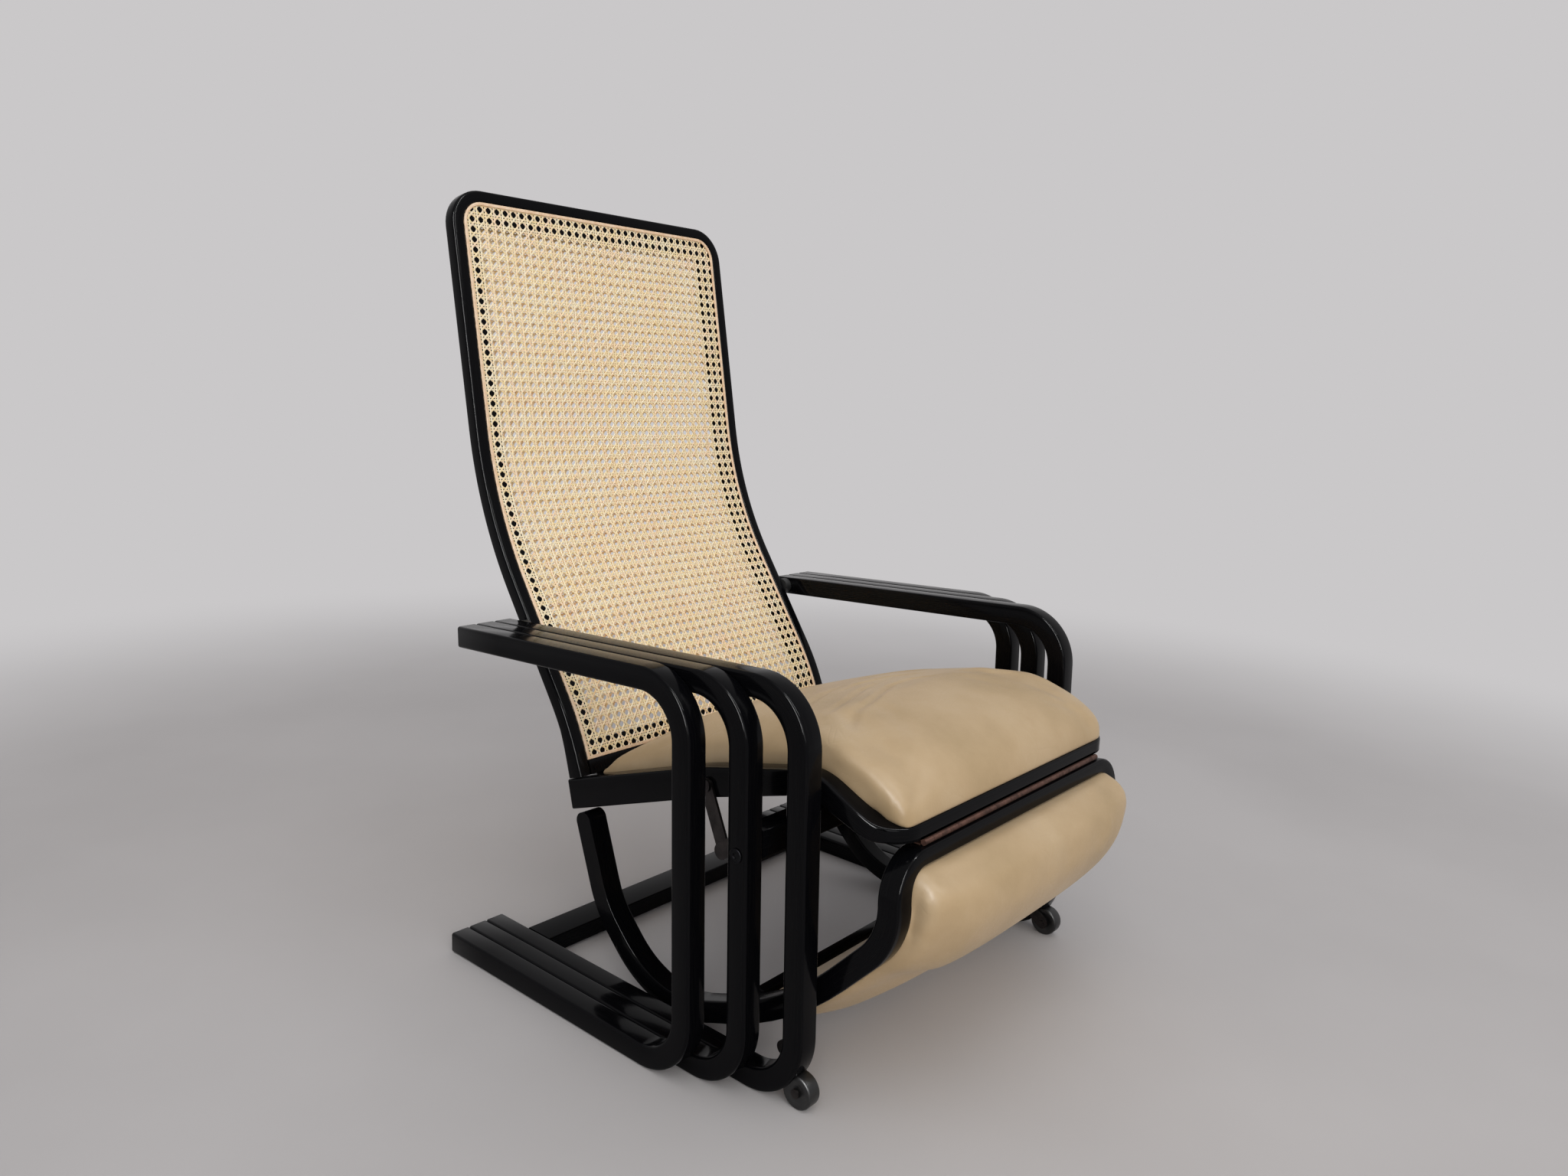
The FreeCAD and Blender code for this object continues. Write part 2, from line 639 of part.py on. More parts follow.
# Footrest frame: two bent arms joined by a top rail with rounded corners.
foot_arm_start = (-260.0, 215.0)
foot_arm_low = (-215.3, 89.9)
arm_slope = (foot_arm_low[0] - foot_arm_start[0]) / (foot_arm_low[1] - foot_arm_start[1])
foot_arm_tip = (foot_arm_start[0] + (size("foot_arm_end") - foot_arm_start[1]) * arm_slope, size("foot_arm_end"))
foot_path = bend_path([
    foot_arm_tip,
    foot_arm_low + (123.3,),
    (-121.9, -2.1, 127.2),
    (70.6, 71.5, 395.0),
    (190.1, 195.8, 79.0),
    (184.9, size("foot_top") + 8),
])
foot_inner = shell_half - strip
foot_low_edge = size("foot_top") - size("foot_top_width")
foot_corner = size("foot_corner_radius")
foot_band = band_solid(foot_path, -deep / 2, deep / 2, -shell_half, shell_half)
tips = [Part.makeCylinder(deep / 2, 2 * shell_half, at(-shell_half, *foot_arm_tip), Vector(1, 0, 0))]
foot_band = foot_band.fuse(tips).removeSplitter()
foot_outer = front_plate(shell_half, -100, size("foot_top"), foot_corner, -500, 500)
foot_hole = front_plate(foot_inner, -150, foot_low_edge, foot_corner - strip, -500, 500)
keep("footrest_frame", foot_band.common(foot_outer).cut(foot_hole))

# Rail between the arms at the foot of the pad.
foot_line_points = stations(foot_path, 0.5)
lower_run = [s for s in foot_line_points if s[0] > -100 and s[1] < foot_low_edge]
rail_forward = size("foot_rail_forward")
rail_place = min(lower_run, key=lambda s: abs(s[0] - rail_forward))
rail_low = rail_place[1] + deep / 2 - 5.0
cross_rail = Part.makeBox(2 * foot_inner, size("foot_rail_width"), size("foot_rail_height"),
                          at(-foot_inner, rail_forward + size("foot_rail_width") / 2, rail_low))
keep("footrest_cross_rail", round_edges(cross_rail, 1.5, lambda e: e.Length > 2 * foot_inner - 1))

# Footrest cushion: sections square to the arms, from the cross rail up to the top rail.
pad_start = rail_forward + size("foot_rail_width") / 2 + gap + 6.0
pad_run = [s for s in lower_run if s[0] >= pad_start and s[1] <= foot_low_edge - gap - 0.8]
reach = [0.0]
for before, here in zip(pad_run, pad_run[1:]):
    reach.append(reach[-1] + math.dist(before[:2], here[:2]))
pad_length = reach[-1]
foot_crown = size("foot_crown")
# Each row: distance along the arm, swell of the side and of the crown past the arm, narrowing.
pad_rows = [(0, 0.02, 0.12, 8), (3, 0.26, 0.42, 3), (9, 0.46, 0.70, 1), (24, 0.62, 0.92, 0),
            (0.3 * pad_length, 0.68, 1.0, 0), (0.55 * pad_length, 0.68, 1.0, 0), (pad_length - 60, 0.68, 1.0, 0),
            (pad_length - 30, 0.66, 0.96, 1), (pad_length - 16, 0.58, 0.84, 6), (pad_length - 6, 0.38, 0.56, 15),
            (pad_length, 0.10, 0.16, 28)]
pad_wires = []
for along, side_part, crown_part, narrower in filled_rows(pad_rows, 18):
    k = min(range(len(reach)), key=lambda n: abs(reach[n] - along))
    forward, height, turn = pad_run[k]
    outward = Vector(0, -math.sin(turn), -math.cos(turn))
    pad_wires.append(cushion_section(at(0, forward, height), outward, foot_inner - gap - narrower, -9.0,
                                     deep / 2 + side_part * foot_crown, deep / 2 + crown_part * foot_crown))
keep("footrest_cushion", Part.makeLoft(pad_wires, True, True))


# Side view direction helpers for the hinges.
def unit(start, end):
    length = math.dist(start, end)
    return (end[0] - start[0]) / length, (end[1] - start[1]) / length


def moved(point, direction, distance):
    return point[0] + direction[0] * distance, point[1] + direction[1] * distance


def side_prism(points, x0, x1):
    corners = [at(x0, *p) for p in points]
    return Part.Face(Part.makePolygon(corners + corners[:1])).extrude(Vector(x1 - x0, 0, 0))


# A hinge leaf: a plate on a flat face plus every second knuckle of the barrel.
def hinge_leaf(axis, radius, face_point, along, outward, width, half_length, count, parity):
    depth = size("hinge_leaf_depth")
    offset = (axis[0] - face_point[0]) * along[0] + (axis[1] - face_point[1]) * along[1]
    foot = moved(face_point, along, offset)
    near = moved(foot, along, radius + 0.5)
    far = moved(foot, along, width)
    leaf = side_prism([near, far, moved(far, outward, depth), moved(near, outward, depth)],
                      -half_length, half_length)
    pitch = 2 * half_length / count
    for k in range(parity, count, 2):
        x0 = -half_length + k * pitch + 0.2
        x1 = x0 + pitch - 0.4
        web = side_prism([near, moved(near, outward, depth), moved(axis, outward, 1.2), moved(axis, outward, -1.2)],
                         x0, x1)
        knuckle = Part.makeCylinder(radius, x1 - x0, at(x0, *axis), Vector(1, 0, 0))
        leaf = leaf.fuse([web, knuckle])
    bore = Part.makeCylinder(size("barrel_pin_radius") + size("running_gap"), 2 * half_length + 2,
                             at(-half_length - 1, *axis), Vector(1, 0, 0))
    return leaf.removeSplitter().cut(bore)


# Long hinge under the front of the seat: one leaf under the seat rail, one on the footrest rail.
front_axis = (size("hinge_forward"), size("hinge_height"))
front_radius = size("front_barrel_radius")
long_half = size("hinge_half_length")
rail_bottom = [p for p in run_points(seat_low[-1], 0.0)]
back_along = unit(rail_bottom[1], rail_bottom[0])
down = (back_along[1], -back_along[0]) if back_along[0] > 0 else (-back_along[1], back_along[0])
keep("front_hinge_seat_leaf", hinge_leaf(front_axis, front_radius, rail_bottom[1], back_along, down,
                                         24.0, long_half, 25, 0))
keep("front_hinge_footrest_leaf", hinge_leaf(front_axis, front_radius, (front_axis[0], size("foot_top")),
                                             (-1.0, 0.0), (0.0, 1.0), 15.5, long_half, 25, 1))

# Hinge between the back and the seat, on the rear faces of their rails.
seat_rear_top = seat_top_corners[0]
rear_axis = (seat_rear_top[0] - size("rear_hinge_back"), seat_rear_top[1] + size("rear_hinge_rise"))
rear_radius = size("rear_barrel_radius")
seat_down = unit(seat_rear_top, seat_low_corners[0])
seat_out = (seat_down[1], -seat_down[0])
back_foot = run_points(back_rear[-1], 0.0)
back_up = unit(back_foot[1], back_foot[0])
back_out = (-back_up[1], back_up[0])
keep("rear_hinge_seat_leaf", hinge_leaf(rear_axis, rear_radius, seat_rear_top, seat_down, seat_out,
                                        size("rear_leaf_width"), long_half, 15, 0))
keep("rear_hinge_back_leaf", hinge_leaf(rear_axis, rear_radius, back_foot[0], back_up, back_out,
                                        size("rear_leaf_width"), long_half, 15, 1))
for label, axis in (("front_hinge_pin", front_axis), ("rear_hinge_pin", rear_axis)):
    made.append(lateral_rod(label, "Sizes.barrel_pin_radius", "2 * Sizes.hinge_half_length",
                            "-Sizes.hinge_half_length", "%r" % (middle - axis[0]), "%r" % axis[1]))

# Strap links between brackets on the front beam and the seat rails.
link_low = (size("link_pivot_forward"), size("link_pivot_height"))
link_top = link_pin_place
link_deep = size("link_depth")
link_in = shell_half + 1.0
link_out = link_in + link_deep
pin_radius = size("link_pin_radius")
strap_half = size("link_width") / 2
beam_rear = beam_forward - deep / 2


def side_disc(radius, place, x0, x1):
    return Part.makeCylinder(radius, abs(x1 - x0), at(min(x0, x1), *place), Vector(1, 0, 0))


for side_name, side in SIDES:
    direction = unit(link_low, link_top)
    across = (-direction[1] * strap_half, direction[0] * strap_half)
    corners = [moved(link_low, across, 1), moved(link_top, across, 1),
               moved(link_top, across, -1), moved(link_low, across, -1)]
    x0, x1 = sorted((side * link_in, side * link_out))
    strap = side_prism(corners, x0, x1).fuse([side_disc(strap_half, link_low, x0, x1),
                                              side_disc(strap_half, link_top, x0, x1)]).removeSplitter()
    strap = strap.cut(side_disc(pin_radius + size("running_gap"), link_low, x0 - 1, x1 + 1))
    strap = strap.cut(side_disc(pin_radius + size("link_slack"), link_top, x0 - 1, x1 + 1))
    keep("strap_link_%s" % side_name, strap)
    p0, p1 = side * (link_out + 1.0), side * (link_out + 1.0 + size("bracket_depth"))
    flange_out = middle_inner - 5.0
    low, high = beam_low + 2.0, beam_low + size("beam_height") - 2.0
    arm = side_prism([(link_low[0] - 4, link_low[1] + 8), (beam_rear, high), (beam_rear, low),
                      (link_low[0] + 5, link_low[1] - 7.3)], min(p0, p1), max(p0, p1))
    arm = arm.fuse(side_disc(9.0, link_low, p0, p1))
    flange = side_prism([(beam_rear - size("bracket_depth"), low), (beam_rear, low), (beam_rear, high),
                         (beam_rear - size("bracket_depth"), high)], *sorted((p0, side * flange_out)))
    bracket = arm.fuse(flange).removeSplitter()
    keep("link_bracket_%s" % side_name, bracket.cut(side_disc(pin_radius, link_low, p0 - 5, p1 + 5)))
    shank = side_disc(pin_radius, link_low, side * (link_in - gap), p1)
    head = side_disc(pin_radius + 2.5, link_low, side * (link_in - gap - 1.6), side * (link_in - gap))
    keep("link_lower_pin_%s" % side_name, shank.fuse(head).removeSplitter())
    shank = side_disc(pin_radius, link_top, side * (shell_half - 15.0), side * (link_out + gap))
    head = side_disc(pin_radius + 4.0, link_top, side * (link_out + gap), side * (link_out + gap + 1.6))
    keep("link_upper_pin_%s" % side_name, shank.fuse(head).removeSplitter())

doc.recompute()
failed = [item.Label for item in doc.Objects if "Invalid" in item.State or "Error" in item.State]
if failed:
    raise RuntimeError("failed objects: %s" % failed)
os.makedirs("parts", exist_ok=True)
for piece in made:
    if piece.Shape.isNull() or not piece.Shape.isValid() or len(piece.Shape.Solids) != 1:
        raise RuntimeError("bad shape: %s %d" % (piece.Label, len(piece.Shape.Solids)))
    piece.Shape.exportStep("parts/%s.step" % piece.Label)
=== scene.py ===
# A bentwood reclining armchair: looped black side frames, a caned back, a leather seat and
# footrest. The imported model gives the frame; the pieces that show are remade here with their
# real finishes.
import bpy
import bmesh
import math
import numpy as np
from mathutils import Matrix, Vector


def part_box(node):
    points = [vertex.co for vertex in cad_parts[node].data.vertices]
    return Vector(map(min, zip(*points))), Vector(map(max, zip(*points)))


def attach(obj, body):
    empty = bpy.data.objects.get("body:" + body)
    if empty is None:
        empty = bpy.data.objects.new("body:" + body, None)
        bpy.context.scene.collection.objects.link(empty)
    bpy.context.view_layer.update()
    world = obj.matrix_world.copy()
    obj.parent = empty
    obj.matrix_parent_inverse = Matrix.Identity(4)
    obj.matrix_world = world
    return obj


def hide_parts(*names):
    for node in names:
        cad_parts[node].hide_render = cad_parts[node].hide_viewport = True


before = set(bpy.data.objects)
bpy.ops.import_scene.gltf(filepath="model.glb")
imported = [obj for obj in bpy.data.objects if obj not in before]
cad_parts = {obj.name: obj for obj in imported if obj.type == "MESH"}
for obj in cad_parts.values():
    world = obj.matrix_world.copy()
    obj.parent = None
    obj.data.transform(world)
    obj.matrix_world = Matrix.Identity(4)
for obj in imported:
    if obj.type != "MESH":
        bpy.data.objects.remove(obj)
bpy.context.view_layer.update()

# Millimetres. Forward is measured from the middle of the outer posts, and the front faces -Y.
MIDDLE = -145.7
SIDES = {"right": -1, "left": 1}
STRIP = 25.3
DEEP = 25.0
HALF = 322.5
FRAME_INNER = HALF - 3 * STRIP
# Half the width over the back, the seat and the footrest.
SHELL = 235.6
# Wear ends this far from a handled edge.
WEAR = 3.0


def at(x, forward, height):
    return Vector((x, MIDDLE - forward, height)) / 1000


def set_up(thing, **values):
    for name, value in values.items():
        setattr(thing, name, value)
    return thing


def add_object(name, data, **values):
    made = set_up(bpy.data.objects.new(name, data), **values)
    bpy.context.scene.collection.objects.link(made)
    return made


def set_camera():
    view = set_up(bpy.data.cameras.new("photo_view"), sensor_width=36, lens=26.110276,
                  clip_end=50)
    bpy.context.scene.camera = add_object(
        "photo_view", view, location=(-1.065878, -0.890078, 0.713006),
        rotation_euler=(1.3898528916, -0.0404136783, -0.8638570737))


# A side view line of straight runs joined by tangent arcs, through corners given as
# (forward, height, radius), with an end at each side. Each run is
# (length, start or centre, angle, turn, radius).
def bent_line(corners):
    runs = []
    start = corners[0][:2]
    for before, here, after in zip(corners, corners[1:], corners[2:]):
        a = math.atan2(here[1] - before[1], here[0] - before[0])
        b = math.atan2(after[1] - here[1], after[0] - here[0])
        turn = (b - a + math.pi) % (2 * math.pi) - math.pi
        radius = here[2]
        reach = radius * math.tan(abs(turn) / 2)
        enter = (here[0] - reach * math.cos(a), here[1] - reach * math.sin(a))
        side = math.copysign(1, turn)
        centre = (enter[0] - side * radius * math.sin(a), enter[1] + side * radius * math.cos(a))
        runs.append((math.dist(start, enter), start, a, 0.0, None))
        runs.append((radius * abs(turn), centre, a, turn, radius))
        start = (here[0] + reach * math.cos(b), here[1] + reach * math.sin(b))
    end = corners[-1][:2]
    last = math.atan2(end[1] - start[1], end[0] - start[0])
    runs.append((math.dist(start, end), start, last, 0.0, None))
    return runs


def line_length(line):
    return sum(run[0] for run in line)


# Forward, height and direction at a distance along a line.
def spot(line, along):
    for run in line:
        length, place, angle, turn, radius = run
        if along <= length or run == line[-1]:
            if radius is None:
                return place[0] + along * math.cos(angle), place[1] + along * math.sin(angle), angle
            here = angle + turn * along / length
            reach = math.copysign(1, turn) * radius
            return place[0] + reach * math.sin(here), place[1] - reach * math.cos(here), here
        along -= length


# Distances, between two limits, at which straight stock is cut across so that it bends smoothly.
def bending_cuts(line, step_angle, step_run, low=0.0, high=math.inf):
    cuts = []
    reached = 0.0
    for length, _, _, turn, radius in line:
        if radius is None:
            count = max(1, round(length / step_run))
        else:
            count = max(4, round(math.degrees(abs(turn)) / step_angle))
        cuts += [reached + length * k / count for k in range(1, count + 1)]
        reached += length
    return [cut for cut in cuts[:-1] if low < cut < high]


# Distance along a line at which it is nearest to a height, on its part after `after`.
def along_at_height(line, height, after=0.0):
    total = line_length(line)
    steps = 4000
    found = min((k for k in range(steps + 1) if total * k / steps >= after),
                key=lambda k: abs(spot(line, total * k / steps)[1] - height))
    return total * found / steps


def deselect():
    bpy.ops.object.select_all(action="DESELECT")


def choose(piece):
    deselect()
    piece.select_set(True)
    bpy.context.view_layer.objects.active = piece


def edit(piece):
    choose(piece)
    bpy.ops.object.mode_set(mode="EDIT")


def leave():
    bpy.ops.object.mode_set(mode="OBJECT")


# The functions from here to bisect work on the piece in edit mode. This one selects the
# faces, edges or points that pass a test.
def pick(kind, test):
    bpy.ops.mesh.select_mode(type=kind)
    bpy.ops.mesh.select_all(action="DESELECT")
    mesh = bpy.context.edit_object.data
    form = bmesh.from_edit_mesh(mesh)
    items = {"FACE": form.faces, "EDGE": form.edges, "VERT": form.verts}[kind]
    for item in items:
        if test(item):
            item.select_set(True)
    bmesh.update_edit_mesh(mesh)


def take_all():
    bpy.ops.mesh.select_all(action="SELECT")


def bevel_edges(offset, segments, test):
    pick("EDGE", test)
    bpy.ops.mesh.bevel(offset=offset / 1000, segments=segments, affect="EDGES")


def inset(border, **how):
    bpy.ops.mesh.inset(thickness=border / 1000, **how)


def face_outward():
    take_all()
    bpy.ops.mesh.normals_make_consistent(inside=False)


# Gives a flat sheet its depth, along Y.
def thicken(depth):
    take_all()
    bpy.ops.mesh.extrude_region_move(TRANSFORM_OT_translate={"value": (0, depth / 1000, 0)})
    face_outward()


# The place is in metres.
def bisect(place, normal, **how):
    take_all()
    bpy.ops.mesh.bisect(plane_co=place, plane_no=normal, **how)


def middle_of(item):
    return sum((v.co for v in item.verts), Vector()) / len(item.verts) * 1000


# True for an edge along one axis: 0 across, 1 in depth, 2 along the stock.
def runs_along(edge, axis):
    step = edge.verts[1].co - edge.verts[0].co
    return abs(step[axis]) > 0.999 * step.length


# True for an edge where two faces meet at a real corner.
def is_corner(edge):
    return edge.calc_face_angle(0) > 0.5


def name_piece(name):
    piece = bpy.context.active_object
    piece.name = name
    piece.data.name = name
    return piece


# Puts the place, turn and size of the active object into its mesh.
def settle(piece):
    choose(piece)
    bpy.ops.object.transform_apply(location=True, rotation=True, scale=True)
    return piece


def block(name, low, high):
    deselect()
    middle = (Vector(low) + Vector(high)) / 2000
    scale = (Vector(high) - Vector(low)) / 1000
    bpy.ops.mesh.primitive_cube_add(size=1, location=middle, scale=scale)
    return settle(name_piece(name))


def cylinder(name, radius, low, high, sides=48):
    deselect()
    turn = (high - low).to_track_quat("Z", "Y").to_euler()
    bpy.ops.mesh.primitive_cylinder_add(vertices=sides, radius=radius / 1000,
                                        depth=(high - low).length,
                                        location=(low + high) / 2, rotation=turn)
    return settle(name_piece(name))


def apply_modifier(piece, kind, **settings):
    choose(piece)
    set_up(piece.modifiers.new(kind, kind), **settings)
    bpy.ops.object.modifier_apply(modifier=kind)


def smooth(piece, angle=35.0):
    choose(piece)
    bpy.ops.object.shade_smooth_by_angle(angle=math.radians(angle))


def tidy_normals(piece):
    edit(piece)
    take_all()
    bpy.ops.mesh.remove_doubles(threshold=0.00001)
    face_outward()
    leave()


def cut_across(piece, distances, axis=2):
    normal = [0.0, 0.0, 0.0]
    normal[axis] = 1.0
    edit(piece)
    for distance in distances:
        bisect([n * distance / 1000 for n in normal], normal)
    leave()


# Cuts off what lies beyond each plane, given as (place in metres, normal).
def cut_away(piece, planes):
    edit(piece)
    for place, normal in planes:
        bisect(place, normal, clear_outer=True, use_fill=True)
    leave()


# Writes one value, or one place, for every point of a piece, for its material to read.
def mark(piece, name, values):
    places = isinstance(values[0], (tuple, Vector))
    layer = piece.data.attributes.new(name, "FLOAT_VECTOR" if places else "FLOAT", "POINT")
    layer.data.foreach_set("vector" if places else "value",
                           np.array(values, dtype=np.float32).ravel())


# Keeps the place of every point before bending, for the grain, and how near it is to a
# handled edge. The rule gives both.
def mark_wood(piece, rule):
    grain, worn = zip(*(rule(point.co) for point in piece.data.vertices))
    mark(piece, "grain", grain)
    mark(piece, "worn", [min(1.0, max(0.0, near)) for near in worn])


def mark_grain(piece, half_width, half_depth, middle=(0.0, 0.0)):
    def rule(co):
        x, n = co.x * 1000 - middle[0], co.y * 1000 - middle[1]
        return tuple(co), min(abs(x) - half_width, abs(n) - half_depth) / WEAR + 1

    mark_wood(piece, rule)


# Place on a U frame that follows its bend: distance in from the outer edge, and along the U.
def along_u(x, s, half_width, top, corner):
    across, up = abs(x) - (half_width - corner), s - (top - corner)
    if up <= 0:
        return corner - across, s
    if across <= 0:
        return corner - up, top - corner + corner * math.pi / 2 - across
    return corner - math.hypot(across, up), top - corner + corner * math.atan2(up, across)


# The grain of the two legs of a U is taken 600 mm apart, so that it isn't mirrored.
def mark_u_grain(piece, half_width, top, corner, width, depth_low, depth_high):
    def rule(co):
        x, n, s = co * 1000
        across, along = along_u(x, s, half_width, top, corner)
        inside = min(across, width - across)
        deep = min(n - depth_low, depth_high - n)
        grain = ((across + math.copysign(300, x)) / 1000, n / 1000, along / 1000)
        return grain, 1 - max(inside, deep) / WEAR

    mark_wood(piece, rule)


# Moves every point of a piece by a rule from (across, depth, along) in millimetres.
def reshape(piece, rule):
    for point in piece.data.vertices:
        point.co = Vector(rule(*(point.co * 1000))) / 1000
    piece.data.update()


# Lays flat stock on a line: Z is the distance along it, Y the distance to the left of travel,
# which `deepen` can scale.
def bend_to(piece, line, deepen=lambda s: 1.0):
    def rule(x, n, s):
        n *= deepen(s)
        forward, height, angle = spot(line, s)
        forward -= math.sin(angle) * n
        return x, MIDDLE - forward, height + math.cos(angle) * n

    reshape(piece, rule)


def drill(piece, radius, low, high):
    cutter = cylinder("drill", radius, low, high)
    apply_modifier(piece, "BOOLEAN", object=cutter, solver="EXACT")
    bpy.data.objects.remove(cutter)


# A turned piece: a cylinder across the chair, from x0 to x1 in metres, with rounded rims.
def turned(name, radius, x0, x1, middle, rim, sides=48):
    piece = cylinder(name, radius, Vector((x0, middle.y, middle.z)),
                     Vector((x1, middle.y, middle.z)), sides)
    edit(piece)
    bevel_edges(rim, 3, lambda e: not runs_along(e, 0))
    leave()
    return piece


def join(name, pieces):
    choose(pieces[0])
    for piece in pieces[1:]:
        piece.select_set(True)
    bpy.ops.object.join()
    return name_piece(name)


def copy_piece(piece, name):
    other = add_object(name, piece.data.copy())
    other.data.name = name
    return other


# The same piece for the other side, mirrored in the middle plane.
def mirrored(piece, name):
    other = copy_piece(piece, name)
    for point in other.data.vertices:
        point.co.x = -point.co.x
    other.data.flip_normals()
    other.data.update()
    return other


# A finish is a material and the name of its slot.
def finish_piece(piece, finish, body, node_name):
    material, slot = finish
    piece.data.materials.clear()
    piece.data.materials.append(material)
    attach(piece, body)
    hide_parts(node_name)


def finish_bent(piece, finish, body, node_name):
    tidy_normals(piece)
    smooth(piece)
    finish_piece(piece, finish, body, node_name)


def paint(code):
    parts = [int(code[k:k + 2], 16) / 255 for k in (1, 3, 5)]
    return [p / 12.92 if p <= 0.04045 else ((p + 0.055) / 1.055) ** 2.4 for p in parts] + [1.0]


# A node tree, with short forms of the nodes that most materials use. Each short form gives a
# socket, and takes sockets or plain values.
class Recipe:
    def __init__(self, tree):
        self.tree = tree
        tree.nodes.clear()

    def make(self, kind, sockets=None, **settings):
        made = set_up(self.tree.nodes.new("ShaderNode" + kind), **settings)
        for key, value in (sockets or {}).items():
            if isinstance(value, bpy.types.NodeSocket):
                self.tree.links.new(value, made.inputs[key])
            else:
                made.inputs[key].default_value = value
        return made

    def add(self, kind, sockets=None, output=0, **settings):
        return self.make(kind, sockets, **settings).outputs[output]

    def place(self):
        return self.add("TexCoord", output="Object")

    def mark(self, name, output="Vector"):
        return self.add("Attribute", output=output, attribute_name=name)

    def mapped(self, where, scale, rotation=(0, 0, 0)):
        return self.add("Mapping", {"Vector": where, "Scale": scale, "Rotation": rotation})

    def noise(self, where, scale, detail=2.0, roughness=0.5, output="Fac"):
        return self.add("TexNoise", {"Vector": where, "Scale": scale, "Detail": detail,
                                     "Roughness": roughness}, output)

    def math(self, operation, *values):
        return self.add("Math", dict(enumerate(values)), operation=operation)

    def remap(self, value, low, high, to_low=0.0, to_high=1.0, **settings):
        return self.add("MapRange", {"Value": value, "From Min": low, "From Max": high,
                                     "To Min": to_low, "To Max": to_high}, **settings)

    # Stops are (place, hex colour).
    def ramp(self, value, *stops):
        made = self.make("ValToRGB", {"Fac": value})
        band = made.color_ramp
        while len(band.elements) < len(stops):
            band.elements.new(0.5)
        for element, (place, code) in zip(band.elements, stops):
            element.position = place
            element.color = paint(code)
        return made.outputs[0]

    def bump(self, height, distance, strength, **more):
        return self.add("Bump", {"Height": height, "Distance": distance,
                                 "Strength": strength, **more})

    def shader(self, **values):
        return self.add("BsdfPrincipled", {k.replace("_", " "): v for k, v in values.items()})

    def surface(self, shader):
        self.make("OutputMaterial", {"Surface": shader})
        return self.material


def start_material(name):
    material = set_up(bpy.data.materials.new(name), use_nodes=True,
                      diffuse_color=(0.5, 0.5, 0.5, 1))
    return set_up(Recipe(material.node_tree), material=material)


# Black lacquer over laminated beech: the grain telegraphs through as fine streaks,
# and handled edges rub down to a dull brown.
def make_black_lacquer():
    mix = start_material("black_lacquered_bent_beech")
    grain = mix.mark("grain")
    # Beech vessels show as streaks about 1 mm wide and 40 mm long.
    streak = mix.noise(mix.mapped(grain, (900, 900, 24)), 1.0, 4.0, 0.6)
    tone = mix.ramp(streak, (0.30, "#050507"), (0.55, "#08080A"), (0.78, "#0F0E0D"))
    rub = mix.math("MULTIPLY", mix.mark("worn", "Fac"), mix.noise(grain, 14.0))
    shade = mix.add("Mix", {"Factor": mix.remap(rub, 0.40, 0.66, 0.0, 0.35), 6: tone,
                            7: paint("#2A2420")}, 2, data_type="RGBA")
    return mix.surface(mix.shader(
        Base_Color=shade, Roughness=mix.remap(streak, 0.3, 0.75, 0.10, 0.18),
        Normal=mix.bump(streak, 0.00008, 0.25), Specular_IOR_Level=0.055,
        Coat_Weight=0.035, Coat_Roughness=0.05))


# Split rattan: straw, gold and pinkish strands, each with fine fibres along it and a soft
# natural shine.
def make_cane():
    mix = start_material("split_rattan_cane")
    each = mix.make("TexWhiteNoise", {"W": mix.mark("strand", "Fac")},
                    noise_dimensions="1D").outputs
    lay = mix.add("VectorMath", {0: mix.mark("lay"), 1: each["Color"]}, operation="ADD")
    # Fibres are 0.3 mm wide; shades along a strand change every 60 mm or so.
    fine = mix.noise(mix.mapped(lay, (3300, 3300, 60)), 1.0)
    slow = mix.noise(mix.mapped(lay, (40, 40, 16)), 1.0, 3.0)
    blend = mix.math("MULTIPLY_ADD", each["Value"], 0.45, slow)
    tone = mix.ramp(mix.remap(blend, 0.35, 1.15), (0.0, "#FFE2AC"), (0.3, "#FFECC8"),
                    (0.5, "#FFDFA2"), (0.72, "#FFDAB6"), (1.0, "#F5C582"))
    shade = mix.add("VectorMath", {0: tone, "Scale": mix.remap(fine, 0.25, 0.55, 0.88, 1.0)},
                    operation="SCALE")
    return mix.surface(mix.shader(
        Base_Color=shade, Roughness=0.42, Normal=mix.bump(fine, 0.0001, 0.5),
        Subsurface_Weight=0.3, Subsurface_Radius=(1.0, 0.8, 0.6), Subsurface_Scale=0.0010))


